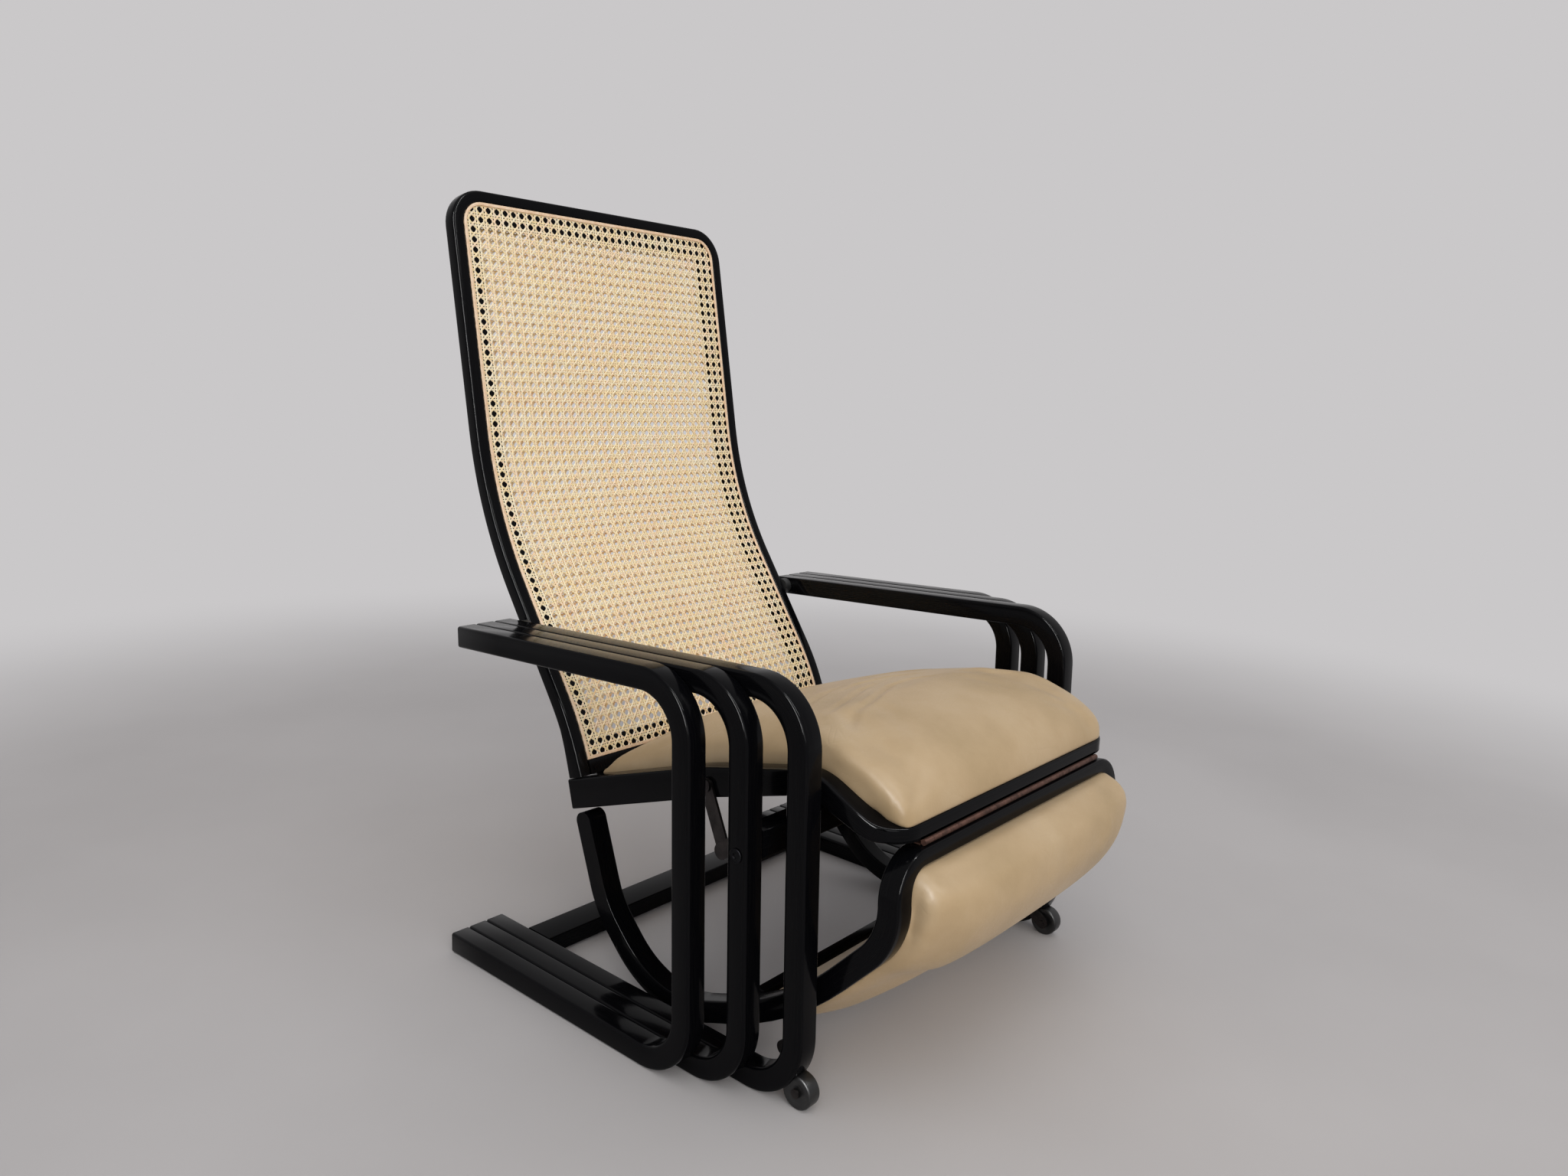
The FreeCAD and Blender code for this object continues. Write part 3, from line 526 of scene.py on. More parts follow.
# Aniline cowhide: even khaki tan with soft clouding, a fine pebble grain and faint creases.
def make_leather():
    mix = start_material("tan_aniline_leather")
    place = mix.place()
    cloud = mix.noise(place, 9.0, 5.0, 0.55)
    # Hide grain has cells of about 1 mm.
    pebble = mix.add("TexVoronoi", {"Vector": place, "Scale": 900.0}, "Distance",
                     feature="SMOOTH_F1")
    pore = mix.noise(place, 420.0, 3.0)
    wander = mix.noise(place, 7.0, output="Color")
    sway = mix.add("VectorMath", {0: wander, 1: (0.12, 0.12, 0.12), 2: place},
                   operation="MULTIPLY_ADD")
    crease = mix.add("TexVoronoi", {"Vector": mix.mapped(sway, (16, 34, 30), (0, 0, 0.5)),
                                    "Scale": 1.0}, "Distance", feature="DISTANCE_TO_EDGE")
    fold = mix.remap(crease, 0.0, 0.07, interpolation_type="SMOOTHSTEP")
    where = mix.remap(cloud, 0.48, 0.66, 0.0, 0.5)
    depth = mix.add("Mix", {"Factor": where, 2: 1.0, 3: fold})
    grain = mix.bump(mix.math("MULTIPLY_ADD", pebble, 0.5, pore), 0.00025, 0.35)
    return mix.surface(mix.shader(
        Base_Color=mix.ramp(cloud, (0.28, "#AC926B"), (0.5, "#B89D77"), (0.72, "#C1A884")),
        Roughness=mix.remap(pore, 0.3, 0.7, 0.42, 0.54), Specular_IOR_Level=0.27,
        Sheen_Weight=0.08, Normal=mix.bump(depth, 0.0009, 0.36, Normal=grain)))


# A material of plain fibres: `scale` stretches the place or the mark that they follow.
def make_fibrous(name, mark_name, scale, detail, stops, rough, strength):
    mix = start_material(name)
    place = mix.mark(mark_name) if mark_name else mix.place()
    fibre = mix.noise(mix.mapped(place, scale), 1.0, detail)
    return mix.surface(mix.shader(Base_Color=mix.ramp(fibre, *stops), Roughness=rough,
                                  Normal=mix.bump(fibre, 0.0002, strength)))


# A metal finish: base colours from clean to tarnished, with a patch size in millimetres.
def make_metal(name, clean, tarnished, patch, rough_low, rough_high):
    mix = start_material(name)
    patches = mix.noise(mix.place(), 1000 / patch, 5.0, 0.65)
    return mix.surface(mix.shader(
        Base_Color=mix.ramp(patches, (0.36, clean), (0.62, tarnished)),
        Roughness=mix.remap(patches, 0.35, 0.65, rough_low, rough_high), Metallic=1.0,
        Normal=mix.bump(patches, 0.0001, 0.3)))


# A plain moulded finish with a fine matt texture, of a grit in millimetres, and slight dust.
def make_moulded(name, clean, dusty, rough, grit):
    mix = start_material(name)
    place = mix.place()
    dust = mix.ramp(mix.noise(place, 90.0, 6.0), (0.45, clean), (0.75, dusty))
    texture = mix.bump(mix.noise(place, 1000 / grit), 0.0001, 0.4)
    return mix.surface(mix.shader(Base_Color=dust, Roughness=rough, Normal=texture))


WOOD = (make_black_lacquer(), "lacquered_wood")
CANE = (make_cane(), "cane")
# Reed pressed into the groove: one thick rattan core, a little redder and duller than cane.
REED = (make_fibrous("rattan_reed_spline", "grain", (160, 160, 160), 4.0,
                     ((0.3, "#E0B88E"), (0.5, "#EBC8A2"), (0.7, "#F2D6B6")), 0.5, 0.4), "spline")
LEATHER = (make_leather(), "leather")
# Stained plywood: straight veneer grain in reddish brown, dull from the brush.
PLYWOOD = (make_fibrous("brown_stained_plywood", "", (300, 14, 300), 5.0,
                        ((0.3, "#3E211A"), (0.5, "#5A3226"), (0.72, "#6E4232")), 0.58, 0.5),
           "plywood")
# Aged bronze strip hinge: brown with dull copper rubbed places.
bronze = make_metal("aged_bronze", "#6A4E44", "#40302B", 9.0, 0.40, 0.58)
# Blued mild steel of the links and pins: dark with a soft shine.
steel = make_metal("blued_mild_steel", "#3E3A39", "#2D2A2A", 22.0, 0.32, 0.42)
# Solid rubber wheels: near black with floor dust.
RUBBER = (make_moulded("black_rubber", "#0A0A0B", "#161514", 0.38, 0.5), "wheel_rubber")
# Blackened bolts: near black with a dull sheen.
BOLT = (make_metal("blackened_bolt_steel", "#242426", "#171719", 14.0, 0.34, 0.46), "steel")
# Vulcanised fibre washers: black and matt.
fibre = make_moulded("black_fibre_washer", "#0D0D0E", "#1A1918", 0.5, 0.4)

# Side frames: straight battens, rounded, cut across and bent to each strip's line.
ARM_REAR_HEIGHT = 403.5
ARM_RISE = math.tan(math.radians(2.6))
POST_LEAN = math.tan(math.radians(1.8))
POST_STEP = 52.4
POST_PLUMB = 210.0
FRAME_BEND = 58.5
PIVOT_FORWARD = -357.095
ARM_REAR = PIVOT_FORWARD - 17.0
RUNNER_REAR = -394.4
# Forward and height of the wheel's middle.
WHEEL = (112.6, 18.0)
WHEEL_NOTCH = 20.0


def post_forward(index, height):
    return index * POST_STEP - (height - POST_PLUMB) * POST_LEAN


def strip_line(index):
    base = post_forward(index, 0)
    rise = ARM_REAR_HEIGHT - ARM_REAR * ARM_RISE
    top = (rise + ARM_RISE * base) / (1 + ARM_RISE * POST_LEAN)
    return bent_line([
        (ARM_REAR, ARM_REAR_HEIGHT),
        (post_forward(index, top), top, FRAME_BEND),
        (post_forward(index, DEEP / 2), DEEP / 2, FRAME_BEND),
        (RUNNER_REAR, DEEP / 2),
    ])


# Straight stock with rounded long edges and lightly eased ends.
def batten(name, x0, x1, n0, n1, length, rounding=3.0, ease=0.8):
    piece = block(name, (x0, n0, 0), (x1, n1, length))
    edit(piece)
    bevel_edges(rounding, 4, lambda e: runs_along(e, 2))
    bevel_edges(ease, 2, lambda e: not runs_along(e, 2)
                and (middle_of(e).z < 0.01 or middle_of(e).z > length - 0.01))
    leave()
    return piece


def build_side_frames():
    for index, place in enumerate(("outer", "middle", "inner")):
        line = strip_line(index)
        x0 = HALF - (index + 1) * STRIP
        strip = batten("strip", x0 + 0.04, x0 + STRIP - 0.04, -DEEP / 2, DEEP / 2,
                       line_length(line))
        cut_across(strip, bending_cuts(line, 3.0, 70.0))
        mark_grain(strip, STRIP / 2, DEEP / 2, (x0 + STRIP / 2, 0))
        bend_to(strip, line)
        tidy_normals(strip)
        if place == "inner":
            inside = FRAME_INNER - 1
            drill(strip, WHEEL_NOTCH, at(inside, *WHEEL), at(inside + STRIP - 4.0, *WHEEL))
        smooth(strip)
        left = copy_piece(strip, "%s_strip_left" % place)
        right = mirrored(strip, "%s_strip_right" % place)
        bpy.data.objects.remove(strip)
        for piece, side in ((left, "left"), (right, "right")):
            finish_piece(piece, WOOD, "frame", "frame_%s_strip_%s" % (place, side))


# A straight rail, made along Z and laid across the chair.
def rail(name, node_name, body, rounding=2.0):
    low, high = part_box(node_name)
    low, high = low * 1000, high * 1000
    width, depth, height = high - low
    piece = batten(name, -depth / 2, depth / 2, -height / 2, height / 2, width, rounding, 0.3)
    mark_grain(piece, depth / 2, height / 2)
    middle = (low + high) / 2
    for point in piece.data.vertices:
        x, y, z = point.co
        point.co = Vector((z, x, y)) + Vector((low.x, middle.y, middle.z)) / 1000
    piece.data.update()
    finish_bent(piece, WOOD, body, node_name)


# The rear end of the seat frame's top, and the height at which the back's foot ends there.
SEAT_REAR = -279.2
SEAT_REAR_TOP = 233.2
BACK_FOOT = 234.2

# Back: a bent U of wood round two sheets of cane. Its line runs on past its foot and its top.
WAIST = (-441.4, 539.0)
HEEL_HEIGHT = 299.0
UPPER = math.tan(math.radians(10.4))
LOWER = math.tan(math.radians(34.2))
FOOT = math.tan(math.radians(21.5))
HEEL = (WAIST[0] + (WAIST[1] - HEEL_HEIGHT) * LOWER, HEEL_HEIGHT)
BACK_LINE = bent_line([
    (HEEL[0] + (HEEL_HEIGHT - 190.0) * FOOT, 190.0),
    HEEL + (340.0,),
    WAIST + (480.0,),
    (WAIST[0] - (960.0 - WAIST[1]) * UPPER, 960.0),
])
BACK_DEEP = 18.0
BACK_FOOT_DEEP = 25.0
BACK_SIDE = 17.0
BACK_CORNER = 46.0
BACK_INNER = SHELL - BACK_SIDE
BACK_TOP = along_at_height(BACK_LINE, 930.0)
HEEL_ALONG = along_at_height(BACK_LINE, HEEL[1])
FOOT_ALONG = along_at_height(BACK_LINE, BACK_FOOT)

# The cane's opening, its mesh, and the lip between the two sheets.
CANE_LOW = along_at_height(BACK_LINE, 258.2)
CANE_HIGH = along_at_height(BACK_LINE, 915.5)
CANE_CORNER = 29.0
PITCH = 12.7
LIP_SIDE = 22.0
LIP_TOP = 26.0
LIP_FRONT = 3.1
LIP_DEEP = 11.8

# The upper and the lower line of the seat's rails.
SEAT_TOP_LINE = bent_line([(SEAT_REAR, SEAT_REAR_TOP), (-60.0, 305.7, 400.0),
                           (90.7, 340.9, 80.0), (167.3, 302.6, 50.0), (190.0, 300.5)])
SEAT_LOW_LINE = bent_line([(-270.2, 198.1), (-50.0, 273.5, 400.0), (88.0, 314.0, 55.0),
                           (160.0, 287.3, 60.0), (190.0, 285.3)])
SEAT_SLOPE = math.atan2(305.7 - SEAT_REAR_TOP, -60.0 - SEAT_REAR)
SEAT_REAR_SLANT = math.atan2(9.0, 35.1)


# The foot of the back is deeper than the rest, so depths behind the front grow toward it.
def back_depth_scale(along):
    if along >= HEEL_ALONG:
        return 1.0
    part = (HEEL_ALONG - along) / (HEEL_ALONG - FOOT_ALONG)
    return 1.0 + (BACK_FOOT_DEEP / BACK_DEEP - 1.0) * part


# Y of the flat stock is the depth behind the front surface, and travel on the line is upward.
def bend_to_back(piece, cap_foot=False):
    bend_to(piece, BACK_LINE, back_depth_scale)
    if cap_foot:
        down = (0, -math.sin(SEAT_SLOPE), -math.cos(SEAT_SLOPE))
        cut_away(piece, [(at(0, SEAT_REAR, BACK_FOOT), down)])


# A flat plate with two rounded top corners, standing on its low edge.
def arched_plate(name, half_width, low, high, corner, depth):
    deselect()
    bpy.ops.mesh.primitive_plane_add(size=1, location=(0, depth / 1000, (low + high) / 2000),
                                     rotation=(math.pi / 2, 0, 0))
    bpy.ops.transform.resize(value=(2 * half_width / 1000, 1, (high - low) / 1000))
    piece = settle(name_piece(name))
    edit(piece)
    pick("VERT", lambda v: v.co.z * 1000 > high - 0.01)
    bpy.ops.mesh.bevel(offset=corner / 1000, segments=12, affect="VERTICES")
    leave()
    return piece


# Insets the border of an arched plate, ready to delete what lies inside it.
def inset_plate(piece, border):
    edit(piece)
    bpy.ops.mesh.select_mode(type="FACE")
    take_all()
    inset(border, use_boundary=True)


# Turns an arched plate into an open U of the given widths, then gives it its depth.
def make_u(piece, side, top, low, depth):
    inset_plate(piece, side)
    form = bmesh.from_edit_mesh(piece.data)
    inner = max((f for f in form.faces if f.select), key=lambda f: f.calc_area())
    heights = [v.co.z for v in inner.verts]
    halfway = (max(heights) + min(heights)) / 2
    for v in inner.verts:
        if v.co.z > halfway:
            v.co.z += (side - top) / 1000
        else:
            v.co.z = low / 1000
    bmesh.update_edit_mesh(piece.data)
    bpy.ops.mesh.delete(type="FACE")
    pick("FACE", lambda f: middle_of(f).z < low + side / 2 + 0.01 and abs(middle_of(f).x) < 1)
    bpy.ops.mesh.delete(type="FACE")
    thicken(depth)
    leave()


# Rounds a U's edges above `low`, along its legs and bend, on its front and its rear.
def round_u(piece, offset, segments, low, front, rear):
    edit(piece)
    bevel_edges(offset, segments, lambda e: is_corner(e) and not runs_along(e, 1)
                and middle_of(e).z > low
                and min(abs(middle_of(e).y - front), abs(middle_of(e).y - rear)) < 0.01)
    leave()


def build_back_frame():
    start = along_at_height(BACK_LINE, 214.0)
    ring = arched_plate("back_frame_bent", SHELL, start, BACK_TOP, BACK_CORNER, 0.0)
    make_u(ring, BACK_SIDE, 14.5, start, BACK_DEEP)
    round_u(ring, 3.2, 4, start + 0.5, 0.0, BACK_DEEP)
    cut_across(ring, bending_cuts(BACK_LINE, 1.5, 25.0, start, BACK_TOP - 50))
    mark_u_grain(ring, SHELL, BACK_TOP, BACK_CORNER, BACK_SIDE, 0.0, BACK_DEEP)
    bend_to_back(ring, cap_foot=True)
    tidy_normals(ring)

    # The lip inside the grooves, between the two sheets of cane.
    lip = arched_plate("back_lip", BACK_INNER, CANE_LOW, CANE_HIGH, CANE_CORNER, LIP_FRONT)
    make_u(lip, LIP_SIDE, LIP_TOP, CANE_LOW, LIP_DEEP)
    cut_across(lip, bending_cuts(BACK_LINE, 3.0, 25.0, CANE_LOW + 1, CANE_HIGH - 40))
    mark_u_grain(lip, BACK_INNER, CANE_HIGH, CANE_CORNER, LIP_SIDE, 0.0, BACK_DEEP)
    bend_to_back(lip)
    ring = join("back_frame_bent", [ring, lip])
    smooth(ring)
    finish_piece(ring, WOOD, "back", "back_frame")

    piece = block("back_foot_rail", (-BACK_INNER, 0, start), (BACK_INNER, BACK_DEEP, CANE_LOW))
    edit(piece)
    bevel_edges(2.0, 3, lambda e: runs_along(e, 0) and middle_of(e).z > CANE_LOW - 1)
    leave()
    cut_across(piece, [start + (CANE_LOW - start) * k / 4 for k in (1, 2, 3)])
    mark_grain(piece, 999, BACK_DEEP / 2, (0, BACK_DEEP / 2))
    bend_to_back(piece, cap_foot=True)
    tidy_normals(piece)
    lip_half = BACK_INNER - LIP_SIDE
    lip = block("rail_lip", (-lip_half, LIP_FRONT, CANE_LOW - 1),
                (lip_half, LIP_FRONT + LIP_DEEP, CANE_LOW + LIP_SIDE))
    cut_across(lip, [CANE_LOW + 6, CANE_LOW + 14])
    mark_grain(lip, 999, BACK_DEEP / 2, (0, BACK_DEEP / 2))
    bend_to_back(lip)
    piece = join("back_foot_rail", [piece, lip])
    smooth(piece)
    finish_piece(piece, WOOD, "back", "back_bottom_rail")


# Cuts a flat piece to the opening of the back less a border.
def trim_to_opening(piece, border):
    half = BACK_INNER - border
    low, high = CANE_LOW + border, CANE_HIGH - border
    planes = [((half, 0, 0), (1, 0, 0)), ((-half, 0, 0), (-1, 0, 0)),
              ((0, 0, low), (0, 0, -1)), ((0, 0, high), (0, 0, 1))]
    radius = CANE_CORNER - border
    for side in (-1, 1):
        centre = (side * (half - radius), 0, high - radius)
        for k in range(1, 6):
            turn = math.radians(15 * k)
            normal = (side * math.cos(turn), 0, math.sin(turn))
            planes.append(([c + radius * n for c, n in zip(centre, normal)], normal))
    cut_away(piece, [([p / 1000 for p in place], normal) for place, normal in planes])


# One split strand, upright, with a ridged face toward -Y, at x = 0 from `low` to `high`.
def strand(name, width, low, high, step):
    thick = 0.5
    piece = block(name, (-width / 2, -thick / 2, low), (width / 2, thick / 2, high))
    edit(piece)
    pick("VERT", lambda v: v.co.y < 0)
    bpy.ops.transform.resize(value=(0.0, 1.0, 1.0))
    take_all()
    bpy.ops.mesh.remove_doubles(threshold=0.00001)
    leave()
    if step:
        count = int((high - low) / step)
        cut_across(piece, [low + step * k for k in range(1, count + 1)])
    mark(piece, "lay", [(point.co.x, 0.0, point.co.z) for point in piece.data.vertices])
    return piece


# Repeats a strand at a spacing and numbers the copies, so that each takes its own shade.
def repeat_strand(piece, count, spacing, first_number):
    points = len(piece.data.vertices)
    apply_modifier(piece, "ARRAY", use_relative_offset=False, use_constant_offset=True,
                   constant_offset_displace=[s / 1000 for s in spacing], count=count)
    mark(piece, "strand",
         [float(first_number + k // points) for k in range(len(piece.data.vertices))])


# Middles of the first holes: 34 columns a little off the middle, and rows down from the top.
HOLE_COLUMN = 4.3 - 16.5 * PITCH
HOLE_ROW = CANE_HIGH - 8.8
STRAND_WIDE = 1.95
SLANTED_WIDE = 2.2
# The two strands of a pair lie this far to each side of its middle.
PAIR = 1.5


# A sheet of six-way cane: pairs of uprights, pairs of crosswise strands and a diagonal each way.
def weave_cane(name):
    length = CANE_HIGH - CANE_LOW
    parts = []
    number = 0
    for offset, depth in ((-PAIR, 0.28), (PAIR, -0.28)):
        upright = strand("upright", STRAND_WIDE, CANE_LOW - 2, CANE_HIGH + 2, PITCH)
        start = HOLE_COLUMN - 0.5 * PITCH + offset
        reshape(upright, lambda a, d, b: (a + start, d + depth, b))
        repeat_strand(upright, 35, (PITCH, 0, 0), number)
        number += 40
        parts.append(upright)
    rows = int(length / PITCH) + 2
    for offset in (-PAIR, PAIR):
        crosswise = strand("crosswise", STRAND_WIDE, -BACK_INNER - 2, BACK_INNER + 2, 0)
        top = HOLE_ROW + 0.5 * PITCH + offset
        reshape(crosswise, lambda a, d, b: (b, d, top - a))
        repeat_strand(crosswise, rows, (0, 0, -PITCH), number)
        number += 80
        parts.append(crosswise)
    # A diagonal goes over one kind of pair and under the other, in steps of a quarter of its cell.
    quarter = PITCH * math.sqrt(2) / 4
    down = math.ceil((HOLE_ROW - CANE_LOW) / PITCH) + 1
    count = int((length + 2 * BACK_INNER) / PITCH) + 4
    for lean in (1, -1):
        slanted = strand("slanted", SLANTED_WIDE, 0, (length + 2 * PITCH) * math.sqrt(2), quarter)
        first = HOLE_COLUMN - 0.5 * PITCH - PITCH * (2 if lean < 0 else down + 2)
        low = HOLE_ROW - down * PITCH
        turn = math.sqrt(0.5)

        def slant(a, d, b):
            wave = lean * (0.42, 0.0, -0.42, 0.0)[round(b / quarter) % 4]
            return first + (lean * b + a) * turn, d + wave, low + (b - lean * a) * turn

        reshape(slanted, slant)
        repeat_strand(slanted, count, (PITCH, 0, 0), number)
        number += 120
        parts.append(slanted)
    sheet = join(name, parts)
    trim_to_opening(sheet, 0.4)
    return sheet


# A sheet of cane and its reed lie this deep in their groove.
CANE_DEPTH = 2.3
REED_DEPTH = 1.6
REED_WIDE = 4.0
REED_THICK = 1.4


def build_cane():
    front = weave_cane("woven_cane_front")
    rear = copy_piece(front, "woven_cane_rear")
    reshape(front, lambda x, d, s: (x, d + CANE_DEPTH, s))
    # The rear sheet faces the other way, and its strands are other strands.
    reshape(rear, lambda x, d, s: (x, BACK_DEEP - CANE_DEPTH - d, s))
    rear.data.flip_normals()
    for item in rear.data.attributes["strand"].data:
        item.value += 1000
    for piece, node_name in ((front, "back_cane_front"), (rear, "back_cane_rear")):
        bend_to_back(piece)
        smooth(piece, 45.0)
        finish_piece(piece, CANE, "back", node_name)


# The reed ring that holds a sheet in its groove.
def build_reed(name, node_name, depth, outward):
    ring = arched_plate(name, BACK_INNER, CANE_LOW, CANE_HIGH, CANE_CORNER, depth)
    inset_plate(ring, REED_WIDE)
    bpy.ops.mesh.delete(type="FACE")
    thicken(outward * REED_THICK)
    bevel_edges(0.6, 3, lambda e: is_corner(e) and not runs_along(e, 1)
                and abs(middle_of(e).y - depth - outward * REED_THICK) < 0.01)
    leave()
    cut_across(ring, bending_cuts(BACK_LINE, 1.5, 25.0, CANE_LOW + 5, CANE_HIGH - 30))
    mark(ring, "grain", [tuple(point.co) for point in ring.data.vertices])
    bend_to_back(ring)
    finish_bent(ring, REED, "back", node_name)


# Seat frame: a U seen from above, with rails shaped by an upper and a lower line.
SEAT_FRONT = 190.0
SEAT_RAIL = 25.0
SEAT_INNER = SHELL - SEAT_RAIL
SEAT_DEEP = 30.0
SEAT_CORNER = 47.0
PANEL_REAR = -259.0


def height_table(line):
    total = line_length(line)
    return np.array([spot(line, total * k / 1500)[:2] for k in range(-60, 1501)])


SEAT_TOP_TABLE = height_table(SEAT_TOP_LINE)
SEAT_LOW_TABLE = height_table(SEAT_LOW_LINE)


def height_on(table, forward):
    return float(np.interp(forward, table[:, 0], table[:, 1]))


# Z of the flat stock is the forward place, and Y the height in a 30 mm rail.
def bend_to_seat(piece, cap_rear=True):
    def rule(x, n, forward):
        if n < SEAT_DEEP / 2:
            return x, MIDDLE - forward, height_on(SEAT_LOW_TABLE, forward) + n
        return x, MIDDLE - forward, height_on(SEAT_TOP_TABLE, forward) - (SEAT_DEEP - n)

    reshape(piece, rule)
    if cap_rear:
        rearward = (0, math.cos(SEAT_REAR_SLANT), -math.sin(SEAT_REAR_SLANT))
        cut_away(piece, [(at(0, SEAT_REAR, SEAT_REAR_TOP), rearward)])


def seat_cuts(low, high):
    return [low + (high - low) * k / 60 for k in range(1, 60)]


def build_seat_frame():
    start = SEAT_REAR - 3
    ring = arched_plate("seat_frame_shaped", SHELL, start, SEAT_FRONT, SEAT_CORNER, 0.0)
    make_u(ring, SEAT_RAIL, SEAT_RAIL, start, SEAT_DEEP)
    round_u(ring, 2.6, 3, SEAT_REAR - 2, 0.0, SEAT_DEEP)
    cut_across(ring, seat_cuts(SEAT_REAR, SEAT_FRONT - 50))
    cut_across(ring, [SEAT_DEEP / 2], axis=1)
    mark_u_grain(ring, SHELL, SEAT_FRONT, SEAT_CORNER, SEAT_RAIL, 0.0, SEAT_DEEP)
    bend_to_seat(ring)
    finish_bent(ring, WOOD, "seat", "seat_frame")

    piece = block("seat_back_rail", (-SEAT_INNER, 0, start),
                  (SEAT_INNER, SEAT_DEEP, SEAT_REAR + 20))
    cut_across(piece, [SEAT_REAR + 4, SEAT_REAR + 12])
    cut_across(piece, [SEAT_DEEP / 2], axis=1)
    mark_grain(piece, 999, SEAT_DEEP / 2, (0, SEAT_DEEP / 2))
    bend_to_seat(piece)
    finish_bent(piece, WOOD, "seat", "seat_rear_rail")

    panel = arched_plate("seat_plywood", SEAT_INNER - 0.2, PANEL_REAR, SEAT_FRONT - 25.2,
                         22.0, 0.3)
    edit(panel)
    thicken(7.7)
    leave()
    cut_across(panel, seat_cuts(PANEL_REAR, SEAT_FRONT - 48))
    bend_to_seat(panel, cap_rear=False)
    finish_bent(panel, PLYWOOD, "seat", "seat_panel")


# Footrest frame: two bent arms and a top rail in one U, laid on the footrest's line.
FOOT_TIP = (-260.0 + (187.0 - 215.0) * (44.7 / -125.1), 187.0)
FOOT_LINE = bent_line([FOOT_TIP, (-215.3, 89.9, 123.3), (-121.9, -2.1, 127.2),
                       (70.6, 71.5, 395.0), (190.1, 195.8, 79.0), (184.9, 287.0)])
# Heights are looked for past the curl, which is shorter than this.
CURL = 300
FOOT_TOP = along_at_height(FOOT_LINE, 278.3, after=CURL)
FOOT_CORNER = 47.0
FOOT_INNER = SHELL - STRIP


def build_footrest_frame():
    half = DEEP / 2
    ring = arched_plate("footrest_frame_bent", SHELL, -half, FOOT_TOP, FOOT_CORNER, -half)
    make_u(ring, STRIP, 17.0, -half, DEEP)
    edit(ring)
    bevel_edges(11.8, 8, lambda e: runs_along(e, 0) and middle_of(e).z < -half + 0.01)
    leave()
    round_u(ring, 2.6, 4, 0.01, -half, half)
    cut_across(ring, bending_cuts(FOOT_LINE, 3.0, 40.0, high=FOOT_TOP - 50))
    mark_u_grain(ring, SHELL, FOOT_TOP, FOOT_CORNER, STRIP, -half, half)
    bend_to(ring, FOOT_LINE)
    finish_bent(ring, WOOD, "footrest", "footrest_frame")


# A closed upholstered section: flat underneath, upright tacked sides, crowned face.
def upholstered_ring(half_width, base, side, crown, full=3.0, over=0.0):
    ring = []
    for k in range(27):
        turn = math.pi * k / 26
        c, s = math.cos(turn), max(0.0, math.sin(turn))
        ring.append(((half_width + over) * math.copysign(abs(c) ** (2 / full), c),
                     side + (crown - side) * s ** (2 / full)))
    lower = [(half_width + 0.8 * over, base + 0.6 * (side - base)),
             (half_width + 0.3 * over, base + 2.0),
             (half_width - 3.0, base), (half_width * 0.5, base)]
    return ring + [(-x, n) for x, n in lower] + [(0.0, base)] + lower[::-1]


def fill_rows(rows, step):
    full = []
    for before, here in zip(rows, rows[1:]):
        count = max(1, round(abs(here[0] - before[0]) / step))
        full += [[u + (v - u) * k / count for u, v in zip(before, here)] for k in range(count)]
    return full + [rows[-1]]


# Skins rows of rings into a closed form, ends filled.
def skin(name, rows):
    form = bmesh.new()
    rings = [[form.verts.new(Vector(p) / 1000) for p in row] for row in rows]
    for here, after in zip(rings, rings[1:]):
        for k in range(len(here)):
            m = (k + 1) % len(here)
            form.faces.new((here[k], here[m], after[m], after[k]))
    form.faces.new(list(reversed(rings[0])))
    form.faces.new(rings[-1])
    bmesh.ops.recalc_face_normals(form, faces=form.faces)
    mesh = bpy.data.meshes.new(name)
    form.to_mesh(mesh)
    form.free()
    return add_object(name, mesh)


def group_points(piece, name, test):
    group = piece.vertex_groups.new(name=name)
    group.add([p.index for p in piece.data.vertices if test(p.co * 1000)], 1.0, "REPLACE")


def remesh(piece, voxel, rounds):
    apply_modifier(piece, "REMESH", mode="VOXEL", voxel_size=voxel / 1000)
    apply_modifier(piece, "SMOOTH", factor=0.5, iterations=rounds)


# Fills a cushion: the leather swells under pressure, held where it is tacked down.
def swell(piece, held, cap):
    group_points(piece, "tacked", held)
    before = [point.co.copy() for point in piece.data.vertices]
    filling = piece.modifiers.new("filling", "CLOTH")
    hide = set_up(filling.settings, quality=5, mass=0.4, tension_stiffness=20,
                  compression_stiffness=20, shear_stiffness=8, bending_stiffness=2.0,
                  use_pressure=True, uniform_pressure_force=4.0, vertex_group_mass="tacked")
    hide.effector_weights.gravity = 0
    for moment in range(1, 21):
        bpy.context.scene.frame_set(moment)
    filled = piece.evaluated_get(bpy.context.evaluated_depsgraph_get())
    after = [point.co.copy() for point in filled.data.vertices]
    for point, start, end in zip(piece.data.vertices, before, after):
        move = end - start
        if move.length > cap / 1000:
            move *= cap / 1000 / move.length
        point.co = start + move
    piece.modifiers.remove(filling)
    piece.vertex_groups.clear()
    bpy.context.scene.frame_set(1)


# Evens out the small ripples that the swelling leaves, except where the leather is tacked.
def relax(piece, held, rounds):
    group_points(piece, "free", lambda p: not held(p))
    apply_modifier(piece, "SMOOTH", factor=0.5, iterations=rounds, vertex_group="free")
    piece.vertex_groups.clear()


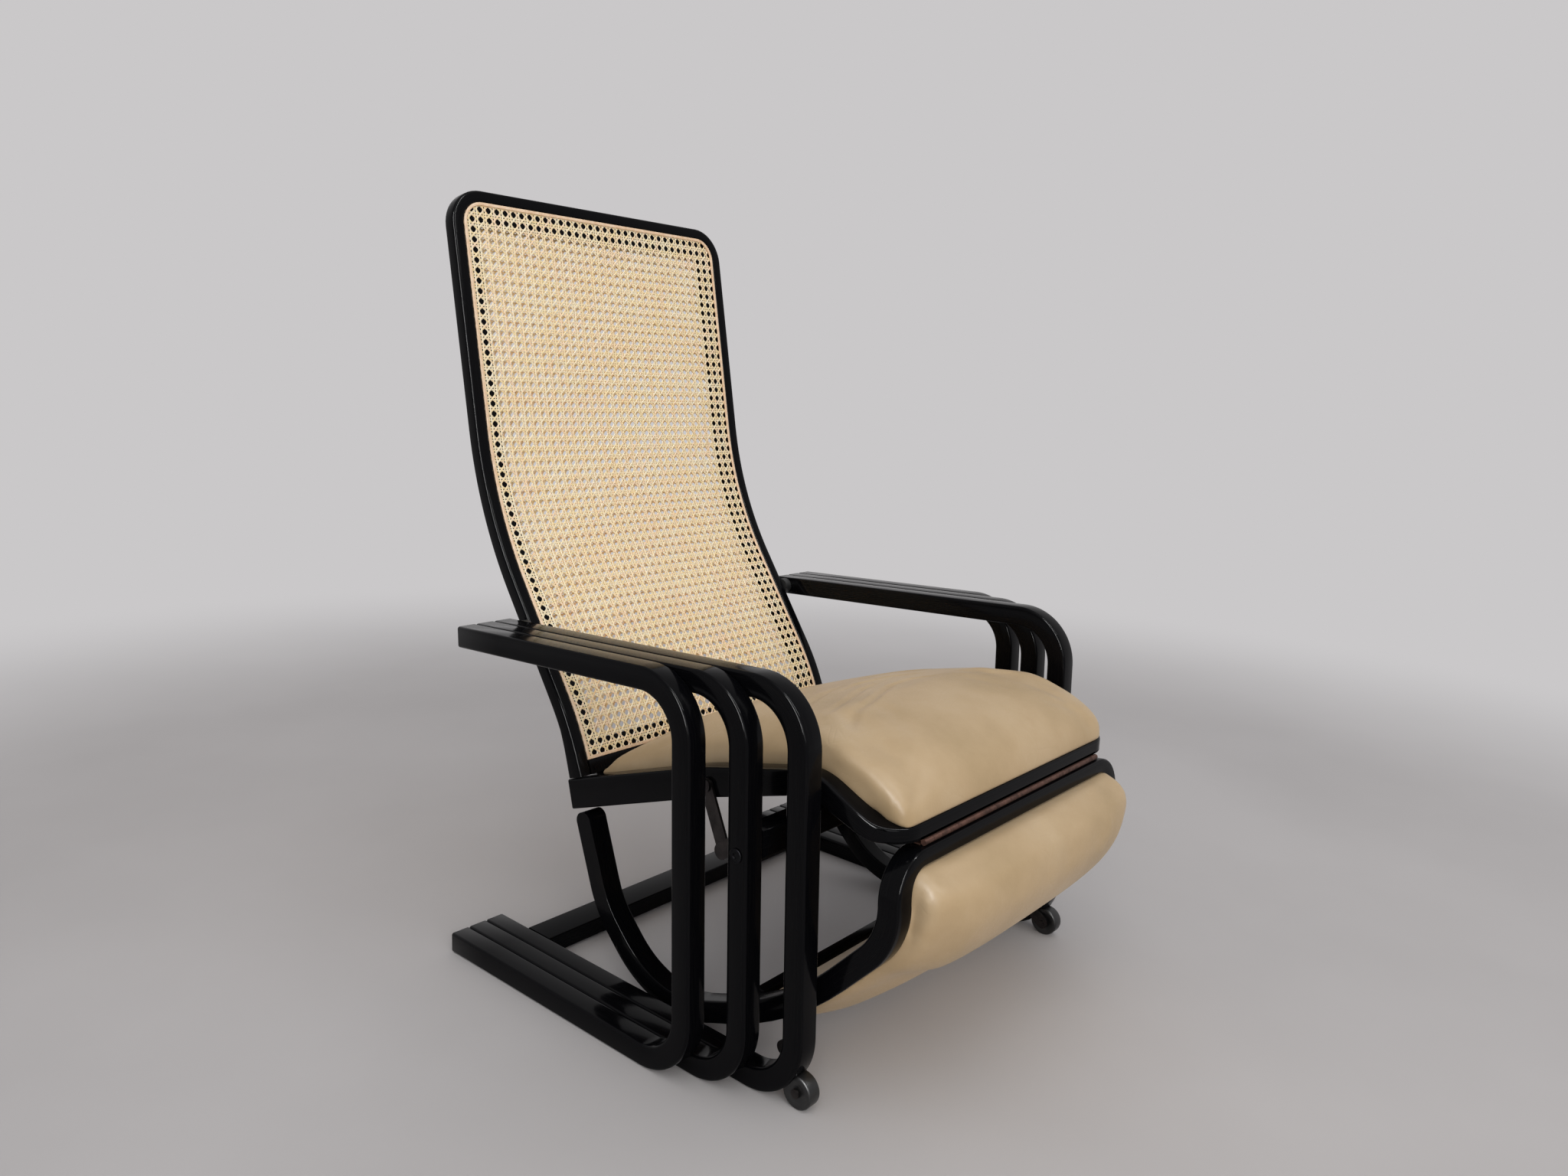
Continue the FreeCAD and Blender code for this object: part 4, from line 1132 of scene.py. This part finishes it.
# Presses a soft fold into the upper face along a line of (across, forward) places.
def press_fold(piece, places, width, depth):
    line = [Vector((x, MIDDLE - forward)) for x, forward in places]
    run = sum((b - a).length for a, b in zip(line, line[1:]))
    for point in piece.data.vertices:
        if point.normal.z < 0.2:
            continue
        here = Vector((point.co.x, point.co.y)) * 1000
        nearest, gone, along = math.inf, 0.0, 0.0
        for a, b in zip(line, line[1:]):
            step = b - a
            part = min(1.0, max(0.0, (here - a).dot(step) / step.length_squared))
            away = (here - a - step * part).length
            if away < nearest:
                nearest, along = away, gone + step.length * part
            gone += step.length
        if nearest < 4 * width:
            fade = math.sin(math.pi * min(1.0, max(0.0, along / run))) ** 0.7
            # A valley with a low ridge on each side.
            t = nearest / width
            valley = (1 - 0.7 * t * t) * math.exp(-0.5 * t * t)
            point.co -= point.normal * depth / 1000 * fade * valley
    piece.data.update()


def finish_cushion(piece, body, node_name):
    apply_modifier(piece, "SUBSURF", levels=1, render_levels=1)
    choose(piece)
    bpy.ops.object.shade_smooth()
    finish_piece(piece, LEATHER, body, node_name)


def ease_between(low, high, value):
    part = min(1.0, max(0.0, (value - low) / (high - low)))
    return part * part * (3 - 2 * part)


# Folds where sitting has stretched the hide: (across, forward) places, width and depth.
SEAT_FOLDS = [
    ([(-120, 60), (-60, 40), (0, 15), (50, 10), (80, 40)], 4.2, 4.4),
    ([(-150, 40), (-80, 15), (-20, -10), (40, -20)], 4.4, 3.6),
    ([(-165, 0), (-110, -20), (-50, -45), (10, -55)], 5.0, 3.2),
    ([(-40, -30), (20, -45), (70, -35), (105, 0)], 4.2, 3.2),
    ([(-170, 85), (-130, 60), (-90, 45)], 6.0, 2.2),
    ([(60, -80), (110, -60), (150, -20)], 6.0, 2.2),
]
# Rows of the seat cushion: forward place, height of its sides and of its crown over the rails,
# and how much narrower it is than the frame's inside.
SEAT_ROWS = [
    (-258.4, -14, -11, 8), (-252, -6, 5, 2), (-246, 2, 18, 0), (-234, 6, 31, 0),
    (-200, 7, 37, 0), (-120, 8, 39, 0), (-40, 8, 39, 0), (20, 9, 38, 0), (70, 14, 39, 0),
    (116, 20, 41, 0), (141.5, 24, 45, 0), (160, 24, 45, 0), (172, 22, 40, 0),
    (182, 16, 31, 2), (186, 12, 22, 5), (189, 6, 11, 12),
]
CUSHION_STEP = 7
VOXEL = 5.0


def build_seat_cushion():
    rings = []
    for forward, side, crown, narrower in fill_rows(SEAT_ROWS, CUSHION_STEP):
        top = height_on(SEAT_TOP_TABLE, forward)
        panel = height_on(SEAT_LOW_TABLE, forward) + 9.6
        base = panel + (top - 2.5 - panel) * ease_between(135, 150, forward)
        over = 5.5 * ease_between(60, 115, forward)
        ring = upholstered_ring(SEAT_INNER - 0.3 - narrower, base, top + side, top + crown,
                                over=over)
        rings.append([(x, MIDDLE - forward, height) for x, height in ring])
    piece = skin("seat_cushion_leather", rings)
    remesh(piece, VOXEL, 3)

    def tacked(p):
        return p.z < height_on(SEAT_TOP_TABLE, MIDDLE - p.y) + 4.0

    swell(piece, tacked, 6.0)
    relax(piece, tacked, 14)
    for places, width, depth in SEAT_FOLDS:
        press_fold(piece, places, width, depth)
    finish_cushion(piece, "seat", "seat_cushion")


# The pad lies on the footrest's line from a forward place past the curl to a height.
PAD_REAR = 26.3
PAD_TOP = 260.5


def build_footrest_pad():
    total = line_length(FOOT_LINE)
    low = next(total * k / 2000 for k in range(2000)
               if total * k / 2000 > 250 and spot(FOOT_LINE, total * k / 2000)[0] >= PAD_REAR)
    length = along_at_height(FOOT_LINE, PAD_TOP, after=CURL) - low
    # Place along the pad, share of the full height, and how much narrower.
    rows = [(0, 0.10, 8), (3, 0.34, 3), (9, 0.46, 1), (24, 0.54, 0), (0.3 * length, 0.55, 0),
            (0.55 * length, 0.64, 0), (length - 60, 0.99, 0), (length - 30, 1.22, 0),
            (length - 16, 1.14, 1), (length - 6, 0.74, 6), (length, 0.26, 14)]
    face = DEEP / 2
    rings = []
    for along, part, narrower in fill_rows(rows, CUSHION_STEP):
        upper = ease_between(0.5, 0.85, along / length)
        ring = upholstered_ring(FOOT_INNER - 0.3 - narrower, -9.0,
                                face + part * (5.0 + 9.0 * upper), face + part * 38.0,
                                full=2.8, over=6.0 * upper)
        rings.append([(x, -out, low + along) for x, out in ring])
    piece = skin("footrest_cushion_leather", rings)
    remesh(piece, VOXEL, 3)

    def tacked(p):
        return p.y > -face - 2.0

    swell(piece, tacked, 5.0)
    relax(piece, tacked, 20)
    bend_to(piece, FOOT_LINE)
    finish_cushion(piece, "footrest", "footrest_cushion")


def build_wheels():
    for side_name in SIDES:
        name = "wheel_%s" % side_name
        low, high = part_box(name)
        middle = (low + high) / 2
        wheel = turned(name + "_tyre", WHEEL[1], low.x, high.x, middle, 2.4, sides=64)
        edit(wheel)
        pick("FACE", lambda f: len(f.verts) > 20)
        for border, squeeze in ((4.5, 0.92), (0.6, 0.97)):
            inset(border, use_individual=True)
            bpy.ops.transform.resize(value=(squeeze, 1, 1), center_override=tuple(middle))
        leave()
        smooth(wheel, 40)
        finish_piece(wheel, RUBBER, name, name)


def build_bolts():
    for side_name, side in SIDES.items():
        name = "beam_bolt_%s" % side_name
        low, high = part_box(name)
        middle = (low + high) / 2
        face = side * (HALF - STRIP) / 1000
        head = turned("beam_bolt_head", 7.5, face, face + side * 0.0018, middle, 0.7)
        edit(head)
        pick("FACE", lambda f: len(f.verts) > 20
             and abs(middle_of(f).x) > abs(face * 1000) + 1)
        inset(3.6)
        inset(0.5)
        bpy.ops.transform.translate(value=(-side * 0.0012, 0, 0))
        leave()
        shank = turned("beam_bolt_shank", 3.0, face - side * 0.0645, face, middle, 0.4, sides=32)
        bolt = join(name + "_turned", [head, shank])
        smooth(bolt)
        finish_piece(bolt, BOLT, "frame", name)


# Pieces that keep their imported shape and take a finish.
def finish_kept():
    kept = {
        "front_hinge_seat_leaf": bronze, "front_hinge_footrest_leaf": bronze,
        "front_hinge_pin": bronze, "rear_hinge_seat_leaf": steel,
        "rear_hinge_back_leaf": steel, "rear_hinge_pin": steel,
    }
    for side_name in SIDES:
        for part in ("wheel_plate", "wheel_axle", "pivot_pin", "strap_link", "link_bracket",
                     "link_lower_pin", "link_upper_pin"):
            kept["%s_%s" % (part, side_name)] = steel
        kept["pivot_spacer_%s" % side_name] = fibre
    for name, material in kept.items():
        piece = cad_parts[name]
        if not piece.material_slots:
            piece.data.materials.append(material)
        for holder in piece.material_slots:
            holder.material = material


BACKDROP = "#CAC8C9"
# Name, place, aim, width, length, power, and whether it lights the scene. The two tubes only
# draw the highlights on rounded edges and bends.
LAMPS = (
    ("ceiling_softbox", (-0.3, -0.9, 2.7), (0, 0, 0.3), 2.4, 2.4, 12.0, True),
    ("front_softbox", (-1.3, -2.3, 1.3), (0, -0.1, 0.35), 1.5, 1.5, 23.0, True),
    ("near_tube", (-1.5, -1.0, 1.5), (0, 0, 0.45), 0.25, 1.9, 110.0, False),
    ("far_tube", (0.4, -1.2, 2.2), (0, 0, 0.4), 0.15, 1.4, 30.0, False),
)


# One for a ray from the camera, a reflection or a transmission, and otherwise nought.
def seen_rays(mix):
    path = mix.make("LightPath").outputs
    seen = mix.math("MAXIMUM", path["Is Camera Ray"], path["Is Glossy Ray"])
    return mix.math("MAXIMUM", seen, path["Is Transmission Ray"])


# A pale floor that sweeps up into a pale backdrop past the shadows.
def set_floor():
    deselect()
    bpy.ops.mesh.primitive_plane_add(size=24, location=(0, 0, 0))
    floor = name_piece("floor")
    mix = start_material("pale_floor")
    place = mix.place()
    tone = mix.ramp(mix.noise(place, 1.6, 4.0), (0.35, "#B3AEAC"), (0.65, "#BAB5B3"))
    near = mix.shader(Base_Color=tone, Roughness=0.85)
    away = mix.add("VectorMath", {0: place}, "Value", operation="LENGTH")
    sweep = mix.remap(away, 1.2, 2.6, interpolation_type="SMOOTHSTEP")
    fade = mix.math("MULTIPLY", sweep, seen_rays(mix))
    pale = mix.add("Emission", {"Color": paint(BACKDROP), "Strength": 1.0})
    swept = mix.add("MixShader", {0: fade, 1: near, 2: pale})
    floor.data.materials.append(mix.surface(swept))


def set_lights():
    world = bpy.data.worlds.new("studio")
    bpy.context.scene.world = world
    world.use_nodes = True
    mix = Recipe(world.node_tree)
    soft = mix.add("Background", {"Color": paint("#F2F4F8"), "Strength": 0.70})
    pale = mix.add("Background", {"Color": paint(BACKDROP), "Strength": 1.0})
    mixed = mix.add("MixShader", {0: seen_rays(mix), 1: soft, 2: pale})
    mix.make("OutputWorld", {"Surface": mixed})
    for name, place, aim, wide, long, power, lights in LAMPS:
        lamp = set_up(bpy.data.lights.new(name, "AREA"), shape="RECTANGLE", size=wide,
                      size_y=long, energy=power)
        toward = (Vector(aim) - Vector(place)).to_track_quat("-Z", "Y")
        add_object(name, lamp, location=place, rotation_euler=toward.to_euler(),
                   visible_diffuse=lights)
    bpy.context.scene.view_settings.view_transform = "Standard"


set_camera()
build_side_frames()
rail("stretcher_rear", "rear_stretcher", "frame")
rail("beam_front", "front_beam", "frame")
rail("footrest_foot_rail", "footrest_cross_rail", "footrest", rounding=1.5)
build_back_frame()
build_cane()
build_reed("reed_front", "back_spline_front", REED_DEPTH, -1)
build_reed("reed_rear", "back_spline_rear", BACK_DEEP - REED_DEPTH, 1)
build_seat_frame()
build_footrest_frame()
build_seat_cushion()
build_footrest_pad()
build_wheels()
build_bolts()
finish_kept()
set_floor()
set_lights()
